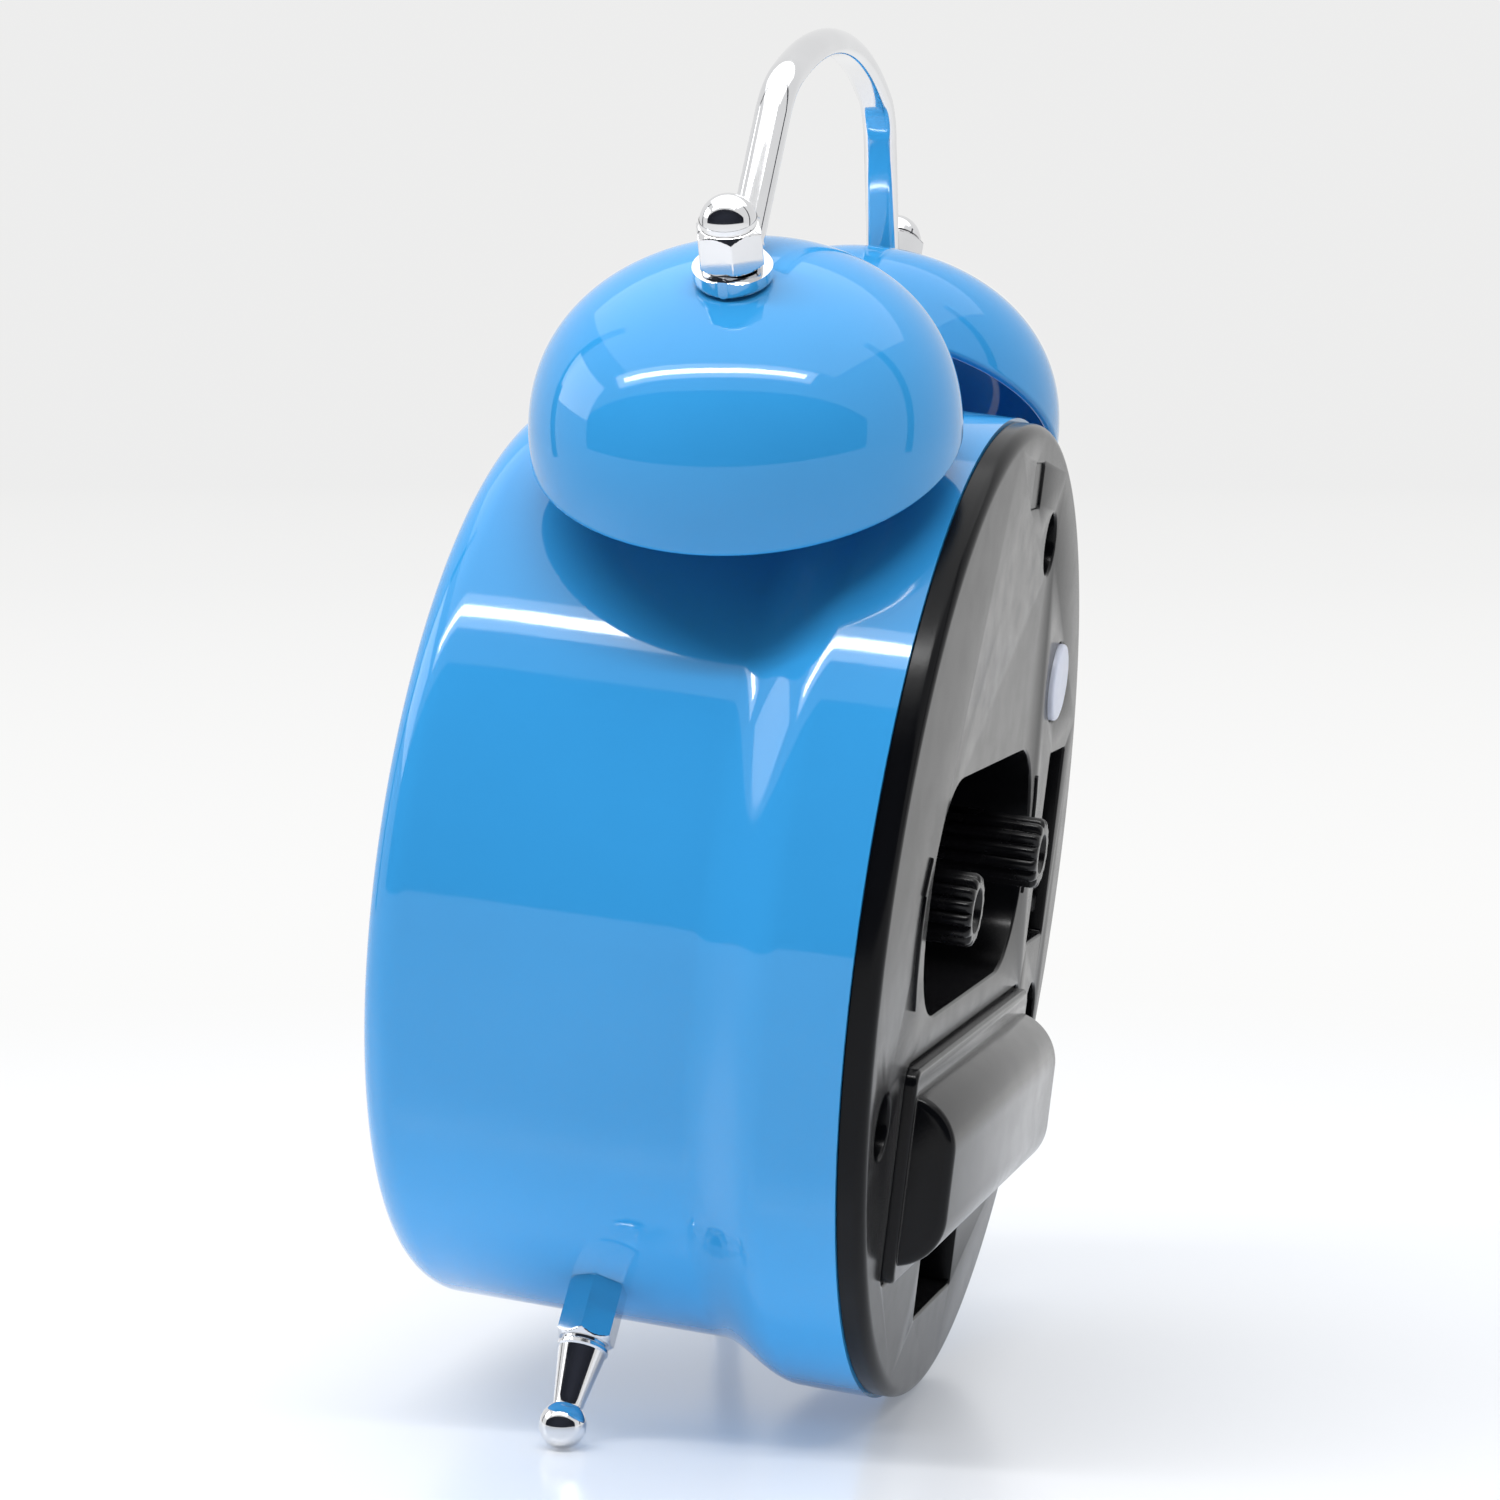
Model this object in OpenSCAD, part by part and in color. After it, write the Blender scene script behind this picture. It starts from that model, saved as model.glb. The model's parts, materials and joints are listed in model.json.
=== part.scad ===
// Twin-bell alarm clock, millimetres.
// Row frame: dial faces -Y, rear cover faces +Y, floor at z = 0.
// Clock frame: Y is the drum's axis, y = 0 is the seam between drum and rear cover.

/* [Drum] */
// Radius of the drum's straight barrel
drum_r = 45.1; // [44:0.1:46]
// Radius of the flared rim at the rear seam
rim_r = 48.4; // [48:0.1:49]
// Length from the rear seam to the front lip
drum_len = 46.9; // [46:0.1:48]
// Thickness of the pressed steel
steel = 0.85; // [0.6:0.05:1]
// Radius of the rolled front edge
front_round = 4.3; // [3.5:0.1:5]
// Angle by which the whole clock leans back
lean = 7; // [5:0.5:9]

/* [Bells] */
// Tilt of each bell's axis from the vertical
bell_tilt = 30.5; // [28:0.5:35]
// Distance of the bell rims' centres in front of the seam
bell_y = 20.4; // [19.5:0.1:22]
// Lean of the bells and the handle towards the dial
bell_lean = 4; // [0:0.5:5]
// Radius of a bell's rim
bell_r = 20.2; // [19:0.1:20.5]
// Height of a bell from rim to crown
bell_h = 16.9; // [14:0.1:18]
// Distance of a bell's rim plane from the drum's axis
bell_rim_d = 51.4; // [50:0.1:55]
// Thickness of a bell's wall
bell_wall = 1; // [0.8:0.1:1.2]

/* [Handle] */
// Width of the handle strip, front to back
strip_w = 3.3; // [3:0.1:4.5]
// Thickness of the handle strip
strip_t = 2.5; // [2:0.1:3]
// Height of the strip's centreline above the drum's axis
handle_z = 82.45; // [81:0.05:84]
// Radius of the long arch
arch_r = 52; // [46:1:58]
// Half angle of the long arch
arch_a = 23; // [20:0.5:25]
// Radius of the shoulders
shoulder_r = 9; // [7:0.1:11]

/* [Feet] */
// Angle of each foot from straight down
foot_tilt = 34; // [30:1:38]
// Distance of the feet in front of the seam
foot_y = 25.1; // [23:0.1:27]
// Radius of a foot's ball
ball_r = 2.25; // [2:0.05:3]

/* [Rear cover] */
// Height of the cover's flat face above the seam
face_y = 2.6; // [2.4:0.1:3]
// Width of the knob recess
recess_w = 50.6; // [48:0.1:52]
// Height of the knob recess
recess_h = 22.6; // [21:0.1:23]
// Width of the battery door
door_w = 59; // [58:0.1:61]
// Height of the battery door
door_h = 20.4; // [20:0.1:21]
// Height of the door's centre, measured from the drum's axis
door_z = -21.6; // [-22:0.1:-21]

/* [Movement] */
// Side of the square movement case
move_w = 54; // [52:1:56]
// Place of the time-setting stem, right and up from the axis
time_pos = [-9.6, 5.3];
// Place of the alarm-setting stem, right and up from the axis
alarm_pos = [14.4, 2.1];

/* [Hidden] */

$fn = 96;
eps = 0.01;

// Standing height: the rear rim's edge and both balls touch the floor
axis_h = rim_r * cos(lean);
foot_d = (axis_h - ball_r + foot_y * sin(lean)) / (cos(foot_tilt) * cos(lean));

// Front and rear extremes of the leaning clock, which centre it on the origin
cover_round = 1.2;
cover_r = rim_r - 0.35;
front_reach = (drum_len - front_round) * cos(lean) + (drum_r - front_round) * sin(lean) + front_round;
rear_reach = (face_y - cover_round) * cos(lean) + (cover_r - cover_round) * sin(lean) + cover_round;
shift_y = (front_reach - rear_reach) / 2;

// Levels along the drum's axis, front to back
drum_in = drum_r - steel;
lens_t = 1.5;
lens_y0 = -drum_len + steel;
dial_y0 = -36.5;
dial_t = 0.8;
move_y0 = dial_y0 + dial_t;
move_depth = 9;
move_wall = 1.2;
cover_t = 1.5;
move_y1 = move_y0 + move_depth;
move_back = move_y1 + cover_t;

// Wheel levels inside the movement: one every wheel_pitch, counted from the dial side
wheel_t = 0.6;
wheel_pitch = 1.02;
function level(i) = move_y0 + move_wall + 0.3 + i * wheel_pitch;

// Gear train. Centre distances follow from the stems
time_d = norm(time_pos);
alarm_d = norm(alarm_pos);
cannon_teeth = 12;
motion_teeth = 36;
motion_mod = 2 * time_d / (cannon_teeth + motion_teeth);
hour_pinion_teeth = 10;
hour_teeth = 40;
hour_mod = 2 * time_d / (hour_pinion_teeth + hour_teeth);
alarm_pinion_teeth = 20;
alarm_teeth = 28;
alarm_mod = 2 * alarm_d / (alarm_pinion_teeth + alarm_teeth);
third_d = 10.2;
third_pos = [0, -third_d];
centre_teeth = 60;
third_pinion_teeth = 8;
centre_mod = 2 * third_d / (centre_teeth + third_pinion_teeth);
third_teeth = 64;
second_pinion_teeth = 8;
third_mod = 2 * third_d / (third_teeth + second_pinion_teeth);
second_teeth = 40;
step_pinion_teeth = 8;
step_d = 8.6;
step_angle = 60;
step_pos = step_d * [cos(step_angle), sin(step_angle)];
second_mod = 2 * step_d / (second_teeth + step_pinion_teeth);
step_teeth = 36;
rotor_teeth = 6;
rotor_d = 7.2;
rotor_pos = step_pos + [0, rotor_d];
rotor_mod = 2 * rotor_d / (step_teeth + rotor_teeth);

// Shafts and running clearance
stem_r = 1;
run = 0.06;
second_r = 0.5;
cannon_r = 1.15;
hour_r = 1.85;
alarm_r = 2.6;
pin_r = 0.4;

// Hands
hand_t = 0.3;
hand_gap = 1.1;
function hand_y(i) = dial_y0 - 1.2 - i * hand_gap;

// Rear face details, [right, up] from the axis
recess_pos = [2.8, 3.6];
recess_round = 9.6;
recess_floor = -6.7;
moulding = 1.2;
slot_pos = [-35.5, 3];
slot_w = 9.2;
slot_h = 20;
slot_floor = -4.4;
button_pos = [-28.8, 20.8];
button_r = 4;
screw_pos = [[38.4, -15.4], [-38.4, -15.4], [-13.9, 35.8]];
well_r = 3.1;
well_floor = -7.4;
notch_w = 18.6;
notch_h = 7.4;
notch_floor = -1.8;
knob_r = 3.6;

// Battery: one AA cell lying across the clock
cell_r = 7.25;
cell_len = 50.5;
cell_y = -0.75;
cell_z = -22;
bay_w = 57.6;
bay_z0 = -30.4;
bay_z1 = -13.6;
bay_floor = -8.9;
bulge_r = 8.5;
bulge_w = 56.8;
bulge_h = 16.6;
bulge_corner = 5.2;
flange_t = 1.1;
flange_rise = 1.1;
door_gap = 0.3;

// Hammer
hammer_pivot_z = 18;
hammer_z = 56;
hammer_len = 8;
hammer_r = 3.2;
arm_w = 3.2;
arm_t = 1.1;
pivot_r = 0.9;
slot_half = 5.6;

// Studs and nuts
thread_r = 1.5;
nut_af = 5.7;
crown_d = bell_rim_d + bell_h;
tab_t = 1.7;
bush_d = crown_d - bell_wall - 1.15;
tab_d = crown_d + 0.15;
bell_pivot = bell_rim_d * cos(bell_tilt);

// ---- placement helpers ----

module clock_frame() {
  translate([0, shift_y, axis_h]) rotate([-lean, 0, 0]) children();
}

// Turns a shape built along Z so that it runs along Y
module along_y() rotate([-90, 0, 0]) children();

// Extrudes a drawing made in the X-Z plane from y0 over a thickness t
module plate(y0, t) {
  translate([0, y0 + t, 0]) rotate([90, 0, 0]) linear_extrude(t) children();
}

// Places a shape built along Z on the radial line at an angle from the top
module radial(tilt, y) translate([0, y, 0]) rotate([0, tilt, 0]) children();

// Places a shape built along Z on a bell's axis; side = 1 is +X, side = 0 the handle's middle plane
module bell_frame(side) translate([0, -bell_y, bell_pivot]) rotate([bell_lean, 0, 0])
  translate([0, 0, -bell_pivot]) rotate([0, side * bell_tilt, 0]) children();

// Round bar along Y at place p = [x, z], from y0 to y1
module bar(p, r, y0, y1, fn = 48) {
  translate([p[0], y0, p[1]]) along_y() cylinder(r = r, h = y1 - y0, $fn = fn);
}

module rounded(w, h, r) {
  hw = w / 2 - r;
  hh = h / 2 - r;
  for (sx = [-1, 1], sy = [-1, 1]) translate([sx * hw, sy * hh]) circle(r);
  square([w, 2 * hh], center = true);
  square([2 * hw, h], center = true);
}

module hex(af) circle(r = af / sqrt(3), $fn = 6);

function arc(cx, cy, r, a0, a1, n) = [for (i = [0 : n]) let (a = a0 + (a1 - a0) * i / n)
  [cx + r * cos(a), cy + r * sin(a)]];

// ---- drum ----

flare_y0 = -15.5;
flare_y1 = -6.9;
function flare(t, r0, r1) = r0 + (r1 - r0) * (1 - cos(180 * t)) / 2;

// Outline of the drum's wall in [radius, y], offset inward by d
function drum_outline(d) = concat(
  [[rim_r - d, 0]],
  [for (i = [0 : 10]) let (t = 1 - i / 10)
    [flare(t, drum_r, rim_r) - d, flare_y0 + (flare_y1 - flare_y0) * t]],
  arc(drum_r - front_round, -drum_len + front_round, front_round - d, 0, -90, 10));

module stud_hole() translate([0, 0, drum_in - 3]) cylinder(r = thread_r + 0.15, h = 6, $fn = 32);

lip_r = 38.6;

module case_shell() color("dodgerblue") clock_frame() difference() {
  along_y() rotate_extrude() polygon(concat(
    drum_outline(0),
    [[lip_r, -drum_len], [lip_r, -drum_len + steel]],
    [for (i = [len(drum_outline(0)) - 1 : -1 : 0]) drum_outline(steel)[i]]));
  for (s = [-1, 1]) {
    bell_frame(s) stud_hole();
    radial(180 + s * foot_tilt, -foot_y) stud_hole();
  }
  translate([-slot_half, -bell_y - arm_w / 2 - 0.9, drum_in - 3]) cube([2 * slot_half, arm_w + 1.8, 8]);
}

module front_lens() color("azure", 0.3) clock_frame()
  along_y() translate([0, 0, lens_y0]) cylinder(r = 40.6, h = lens_t);

module dial_ring() color("white") clock_frame() along_y() rotate_extrude() polygon([
  [39.6, lens_y0 + lens_t], [43.4, lens_y0 + lens_t], [43.9, lens_y0 + lens_t + 1.5],
  [43.9, dial_y0], [38.2, dial_y0], [38.2, dial_y0 - 0.8]]);

module dial() color("ivory") clock_frame() difference() {
  union() {
    along_y() translate([0, 0, dial_y0]) cylinder(r = 43.9, h = dial_t);
    for (i = [0 : 59]) rotate([0, i * 6, 0])
      translate([0, dial_y0 - 0.1, i % 5 == 0 ? 35.2 : 36.1])
        cube([i % 5 == 0 ? 0.9 : 0.35, 0.3, i % 5 == 0 ? 3 : 1.2], center = true);
  }
  bar([0, 0], alarm_r + 0.3, dial_y0 - 1, dial_y0 + 2);
  bar([0, 31], 1.05, dial_y0 - 1, dial_y0 + 2);
}

module dial_lamp() color("lightyellow") clock_frame() {
  bar([0, 31], 1, dial_y0 - 1.2, move_y0, 32);
  translate([0, dial_y0 - 1.2, 31]) rotate([90, 0, 0]) intersection() {
    sphere(r = 1, $fn = 32);
    cylinder(r = 2, h = 2);
  }
}

// Ring behind the dial with three posts that take the cover's screws
post_r = 2.5;
module post_ring() color("gainsboro") clock_frame() difference() {
  union() {
    along_y() rotate_extrude() translate([40.4, move_y0]) square([3.4, 2]);
    for (p = screw_pos) bar(p, post_r, move_y0, well_floor - moulding);
  }
  for (p = screw_pos) bar(p, 1.3, well_floor - 12, well_floor);
}

// ---- rear cover ----

module recess_outline(grow) translate(recess_pos)
  rounded(recess_w + 2 * grow, recess_h + 2 * grow, recess_round + grow);

module slot_outline(grow) translate(slot_pos) square([slot_w + 2 * grow, slot_h + 2 * grow], center = true);

notch_z = door_z - door_h / 2 - notch_h / 2;
module notch_outline(grow) translate([0, notch_z])
  square([notch_w + 2 * grow, notch_h + 2 * grow], center = true);

bay_z = (bay_z0 + bay_z1) / 2;
module bay_outline(grow) translate([0, bay_z])
  square([bay_w + 2 * grow, bay_z1 - bay_z0 + 2 * grow], center = true);

module door_outline(grow) translate([0, door_z]) rounded(door_w + 2 * grow, door_h + 2 * grow, 1.5 + grow);

skin = 1.8;
skirt_r = rim_r - steel - 0.1;
skirt_t = 1.2;
skirt_h = 3;

module cover_body() {
  along_y() rotate_extrude() polygon(concat(
    [[0, face_y - skin], [skirt_r - skirt_t, face_y - skin], [skirt_r - skirt_t, -skirt_h],
      [skirt_r, -skirt_h], [skirt_r, 0], [cover_r, 0]],
    arc(cover_r - cover_round, face_y - cover_round, cover_round, 0, 90, 8),
    [[0, face_y]]));
  plate(recess_floor - moulding, face_y - recess_floor) recess_outline(moulding);
  plate(slot_floor - moulding, face_y - slot_floor) slot_outline(moulding);
  plate(notch_floor - moulding, face_y - notch_floor) notch_outline(moulding);
  plate(bay_floor - moulding, face_y - bay_floor) bay_outline(moulding);
  for (p = screw_pos) bar(p, well_r + 0.8, well_floor - moulding, face_y - eps);
  for (s = [-1, 1]) bar([button_pos[0] + s * 6.6, button_pos[1] + 2], 1, -10, face_y - 1);
}

module rear_cover() color("dimgray") clock_frame() difference() {
  cover_body();
  plate(recess_floor, 20) recess_outline(0);
  plate(slot_floor, 20) slot_outline(0);
  plate(notch_floor, 20) notch_outline(0);
  plate(bay_floor, 20) bay_outline(0);
  plate(face_y - flange_t - 0.1, 20) door_outline(door_gap);
  plate(face_y - 0.25, 2) translate([-2.2, 42]) square([5, 4.4], center = true);
  for (p = screw_pos) {
    bar(p, well_r, well_floor, face_y + 1);
    bar(p, 1.35, well_floor - 3, face_y);
  }
  for (p = [time_pos, alarm_pos]) bar(p, stem_r + run, recess_floor - 3, face_y);
  bar(button_pos, button_r + 0.15, -2, face_y + 1);
}

module cover_screws() color("silver") clock_frame() for (p = screw_pos) difference() {
  union() {
    bar(p, 1.2, well_floor - 9, well_floor);
    bar(p, 2.5, well_floor, well_floor + 1.6);
  }
  translate([p[0], well_floor + 1.6, p[1]]) cube([0.7, 1.6, 3], center = true);
  translate([p[0], well_floor + 1.6, p[1]]) cube([3, 1.6, 0.7], center = true);
}

module bulge(inset) translate([inset - bulge_w / 2, cell_y, cell_z]) rotate([90, 0, 90])
  linear_extrude(bulge_w - 2 * inset)
    rounded(2 * (bulge_r - inset), bulge_h - 2 * inset, bulge_corner - inset);

// Door: a raised flange, a squarish bulge over the cell and a thumb lip over the notch
module battery_door() color("dimgray") clock_frame() difference() {
  union() {
    plate(face_y - flange_t, flange_t + flange_rise) door_outline(0);
    intersection() {
      bulge(0);
      translate([-50, face_y - flange_t, -60]) cube([100, 20, 60]);
    }
    translate([-4, face_y - flange_t, door_z - door_h / 2 - 0.9]) cube([8, 0.7, 1.4]);
  }
  bulge(0.9);
}

module alarm_switch() color("black") clock_frame() {
  p = slot_pos - [0, 3.6];
  plate(slot_floor + 0.3, 2) translate(p) square([slot_w - 0.6, 12], center = true);
  difference() {
    plate(slot_floor + 2.2, 3.9) translate(p) square([slot_w - 0.8, 8], center = true);
    for (i = [-1 : 1]) translate([p[0], slot_floor + 6.2, p[1] + 2 * i]) rotate([45, 0, 0])
      cube([slot_w, 0.8, 0.8], center = true);
  }
}

module light_button() color("gainsboro") clock_frame() {
  bar(button_pos, button_r, -0.5, face_y + 0.5);
  bar(button_pos, button_r + 0.8, -1.7, -0.5);
  bar(button_pos, 1.2, -6, -1.7);
}

module light_switch() color("darkgreen") clock_frame() {
  plate(-11, 1) translate(button_pos + [0, 1]) square([16, 9], center = true);
  plate(-10, 2.2) translate(button_pos) square([6, 6], center = true);
  bar(button_pos, 1.4, -7.8, -7.2);
}

// ---- setting knobs ----

ribs = 14;
rib_h = 0.4;
rib_w = 0.7;
module ribbed(r, y0, y1) {
  difference() {
    bar([0, 0], r - 0.25, y0, y1);
    bar([0, 0], 1.7, y1 - 2.2, y1 + 1);
  }
  for (i = [0 : ribs - 1]) rotate([0, i * 360 / ribs, 0])
    translate([r - rib_h, y0, -rib_w / 2]) cube([rib_h, y1 - y0 - 0.5, rib_w]);
}

module time_knob() color("black") clock_frame() translate([time_pos[0], 0, time_pos[1]])
  ribbed(knob_r, recess_floor + 1, face_y + 3.8);

module alarm_knob() color("black") clock_frame() translate([alarm_pos[0], 0, alarm_pos[1]])
  ribbed(knob_r, recess_floor + 1, face_y + 2.1);

// ---- gear train ----

// Spur gear with straight-sided teeth; a tooth points along +X when phase = 0
module gear(teeth, mod, y0, phase, bore, t = wheel_t) {
  r = teeth * mod / 2;
  step = 360 / teeth;
  tip = r + 0.75 * mod;
  root = r - 1.05 * mod;
  difference() {
    plate(y0, t) rotate(phase) polygon([for (i = [0 : teeth - 1]) each [
      root * [cos((i - 0.27) * step), sin((i - 0.27) * step)],
      tip * [cos((i - 0.08) * step), sin((i - 0.08) * step)],
      tip * [cos((i + 0.08) * step), sin((i + 0.08) * step)],
      root * [cos((i + 0.27) * step), sin((i + 0.27) * step)]]]);
    bar([0, 0], bore, y0 - 1, y0 + t + 1, 32);
  }
}

module at(p) translate([p[0], 0, p[1]]) children();

// Direction from the hand axis to a place, and the phase that puts a gap there
function toward(p) = atan2(p[1], p[0]);
function gap_phase(a, teeth) = a + 180 / teeth;

module tube(r_out, r_in, y0, y1) difference() {
  bar([0, 0], r_out, y0, y1, 32);
  bar([0, 0], r_in, y0 - 1, y1 + 1, 32);
}

module motion_wheel() color("gold") clock_frame() at(time_pos) {
  bar([0, 0], stem_r, level(1) - 0.2, recess_floor + 1, 32);
  gear(hour_pinion_teeth, hour_mod, level(1), gap_phase(toward(-time_pos), hour_pinion_teeth), 0.5,
    wheel_pitch);
  gear(motion_teeth, motion_mod, level(2), gap_phase(toward(-time_pos), motion_teeth), 0.5);
}

module alarm_pinion() color("goldenrod") clock_frame() at(alarm_pos) {
  bar([0, 0], stem_r, level(0) - 0.2, recess_floor + 1, 32);
  gear(alarm_pinion_teeth, alarm_mod, level(0), gap_phase(toward(-alarm_pos), alarm_pinion_teeth), 0.5);
}

module alarm_wheel() color("gold") clock_frame() {
  gear(alarm_teeth, alarm_mod, level(0), toward(alarm_pos), hour_r + run);
  tube(alarm_r, hour_r + run, hand_y(0) - 0.3, level(0) + wheel_t);
}

module hour_wheel() color("goldenrod") clock_frame() {
  gear(hour_teeth, hour_mod, level(1), toward(time_pos), cannon_r + run);
  tube(hour_r, cannon_r + run, hand_y(1) - 0.3, level(1) + wheel_t);
}

module cannon_pinion() color("gold") clock_frame() {
  gear(cannon_teeth, motion_mod, level(2), toward(time_pos), second_r + run);
  tube(cannon_r, second_r + run, hand_y(2) - 0.3, level(3) + wheel_t + 0.2);
}

module centre_wheel() color("goldenrod") clock_frame()
  gear(centre_teeth, centre_mod, level(3), toward(third_pos), cannon_r + run);

module third_wheel() color("gold") clock_frame() at(third_pos) {
  gear(third_pinion_teeth, centre_mod, level(3), gap_phase(90, third_pinion_teeth), pin_r + run, wheel_pitch);
  gear(third_teeth, third_mod, level(4), gap_phase(90, third_teeth), pin_r + run);
}

module second_wheel() color("gold") clock_frame() {
  bar([0, 0], second_r, hand_y(3) - 0.4, level(5) + wheel_t, 32);
  gear(second_pinion_teeth, third_mod, level(4), toward(third_pos), 0.3, wheel_pitch);
  gear(second_teeth, second_mod, level(5), toward(step_pos), 0.3);
}

module step_wheel() color("ivory") clock_frame() at(step_pos) {
  gear(step_pinion_teeth, second_mod, level(5), gap_phase(toward(-step_pos), step_pinion_teeth),
    pin_r + run, wheel_pitch);
  gear(step_teeth, rotor_mod, level(6), toward(rotor_pos - step_pos), pin_r + run);
}

magnet_r = 2.6;
module rotor() color("dimgray") clock_frame() at(rotor_pos) {
  gear(rotor_teeth, rotor_mod, level(6), gap_phase(-90, rotor_teeth), pin_r + run);
  tube(magnet_r, pin_r + run, level(6) - 2.2, level(6) - 0.4);
  tube(0.7, pin_r + run, level(6) - 0.5, level(6) + 0.1);
}

module wheel_pins() color("silver") clock_frame() {
  bar(third_pos, pin_r, level(3) - 0.2, move_y1, 32);
  bar(step_pos, pin_r, level(5) - 0.2, move_y1, 32);
  bar(rotor_pos, pin_r, level(6) - 2.4, move_y1, 32);
}

// ---- movement case and motor ----

module move_outline(grow) rounded(move_w + 2 * grow, move_w + 2 * grow, 4 + grow);

screw_inset = move_w / 2 - 4.5;
module move_corners() for (sx = [-1, 1], sz = [-1, 1]) at([sx * screw_inset, sz * screw_inset]) children();

module movement_base() color("whitesmoke") clock_frame() difference() {
  union() {
    difference() {
      plate(move_y0, move_depth) move_outline(0);
      plate(move_y0 + move_wall, move_depth) move_outline(-move_wall);
    }
    move_corners() bar([0, 0], 2.2, move_y0, move_y1);
  }
  bar([0, 0], alarm_r + run, move_y0 - 1, move_y1);
  move_corners() bar([0, 0], 0.8, move_y1 - 6, move_y1 + 1, 32);
}

module movement_cover() color("gainsboro") clock_frame() difference() {
  plate(move_y1, cover_t) move_outline(0);
  for (p = [time_pos, alarm_pos]) bar(p, stem_r + run, move_y1 - 1, move_back + 1);
  move_corners() bar([0, 0], 0.9, move_y1 - 1, move_back + 1, 32);
}

module movement_screws() color("silver") clock_frame() move_corners() difference() {
  union() {
    bar([0, 0], 0.75, move_back - 5.5, move_back, 32);
    bar([0, 0], 1.7, move_back, move_back + 1, 32);
  }
  translate([0, move_back + 1, 0]) cube([0.5, 0.8, 2.2], center = true);
  translate([0, move_back + 1, 0]) cube([2.2, 0.8, 0.5], center = true);
}

coil_len = 13;
coil_z = 22;
stator_y = level(6) - 1.9;
module stator() color("slategray") clock_frame() plate(stator_y, 0.8) difference() {
  translate([-2, 11.4]) square([21.4, 13.2]);
  translate([1.5, 18.8]) square([14.5, 1.6]);
  translate([1.5, 23.4]) square([14.5, 5]);
  translate(rotor_pos) circle(magnet_r + 0.5);
}

module step_coil() color("chocolate") clock_frame()
  translate([2.2, stator_y + 0.4, coil_z - 0.1]) rotate([0, 90, 0]) difference() {
    cylinder(r = 2.8, h = coil_len);
    translate([-1.6, -0.5, -1]) cube([3.2, 1, coil_len + 2]);
  }

module circuit_board() color("darkgreen") clock_frame() {
  plate(level(5) + 0.2, 0.8) translate([0, -19]) square([36, 10], center = true);
  plate(level(5) + 1, 0.7) translate([-8, -19]) circle(3.4);
  translate([6, level(5) + 1.45, -19]) rotate([0, 90, 0]) cylinder(r = 0.9, h = 6, $fn = 32);
}

// ---- striker ----

coil_x0 = 6.4;
striker_len = 12.6;
striker_r = 4.1;
core_r = 1.8;
magnet_z = hammer_pivot_z + 10;
module striker_bracket() color("silver") clock_frame() difference() {
  union() {
    plate(move_back, 1) difference() {
      translate([7.6, 23]) rounded(25.2, 20, 2);
      translate([coil_x0 - 0.3, magnet_z - striker_r]) square([striker_len + 0.2, 2 * striker_r]);
    }
    translate([coil_x0 + striker_len, move_back, magnet_z - 5]) cube([1.2, 9, 10]);
    bar([0, hammer_pivot_z], pivot_r, move_back, -bell_y + arm_w / 2 + 1.2, 32);
    bar([0, hammer_pivot_z], 1.9, move_back, -bell_y - arm_w / 2 - 0.2, 32);
  }
  translate([coil_x0 + striker_len - 1, -bell_y, magnet_z]) rotate([0, 90, 0])
    cylinder(r = core_r, h = 4, $fn = 32);
}

module striker_core() color("slategray") clock_frame()
  translate([coil_x0 - 1.6, -bell_y, magnet_z]) rotate([0, 90, 0])
    cylinder(r = core_r, h = striker_len + 1.6 + 1.2, $fn = 32);

module striker_coil() color("chocolate") clock_frame()
  translate([coil_x0, -bell_y, magnet_z]) rotate([0, 90, 0]) difference() {
    union() {
      cylinder(r = striker_r - 0.6, h = striker_len - 0.1);
      cylinder(r = striker_r, h = 0.9);
      translate([0, 0, striker_len - 1]) cylinder(r = striker_r, h = 0.9);
    }
    translate([0, 0, -1]) cylinder(r = core_r, h = striker_len + 2, $fn = 32);
  }

module hammer_arm() color("silver") clock_frame() translate([0, -bell_y, 0]) difference() {
  union() {
    translate([-arm_t / 2, -arm_w / 2, hammer_pivot_z])
      cube([arm_t, arm_w, hammer_z - hammer_pivot_z - hammer_r + 0.6]);
    bar([0, hammer_pivot_z], 2.1, -arm_w / 2, arm_w / 2, 32);
    translate([0, -2.4, magnet_z - 2.4]) cube([2.2, 4.8, 4.8]);
  }
  bar([0, hammer_pivot_z], pivot_r + run, -arm_w, arm_w, 32);
}

module hammer_head() color("silver") clock_frame() translate([-hammer_len / 2, -bell_y, hammer_z])
  rotate([0, 90, 0]) rotate_extrude() polygon(concat(
    [[0, 0]],
    arc(hammer_r - 1.2, 1.2, 1.2, -90, 0, 6),
    arc(hammer_r - 1.2, hammer_len - 1.2, 1.2, 0, 90, 6),
    [[0, hammer_len]]));

// ---- battery ----

cell_x0 = -25.55;
module battery_cell() color("darkorange") clock_frame()
  translate([cell_x0, cell_y, cell_z]) rotate([0, 90, 0]) {
    cylinder(r = cell_r, h = cell_len - 1.4);
    cylinder(r = 2.7, h = cell_len);
  }

module contact_plate() color("silver") clock_frame() {
  translate([cell_x0 + cell_len, bay_floor, cell_z - 4]) cube([0.4, 9.5, 8]);
}

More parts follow.
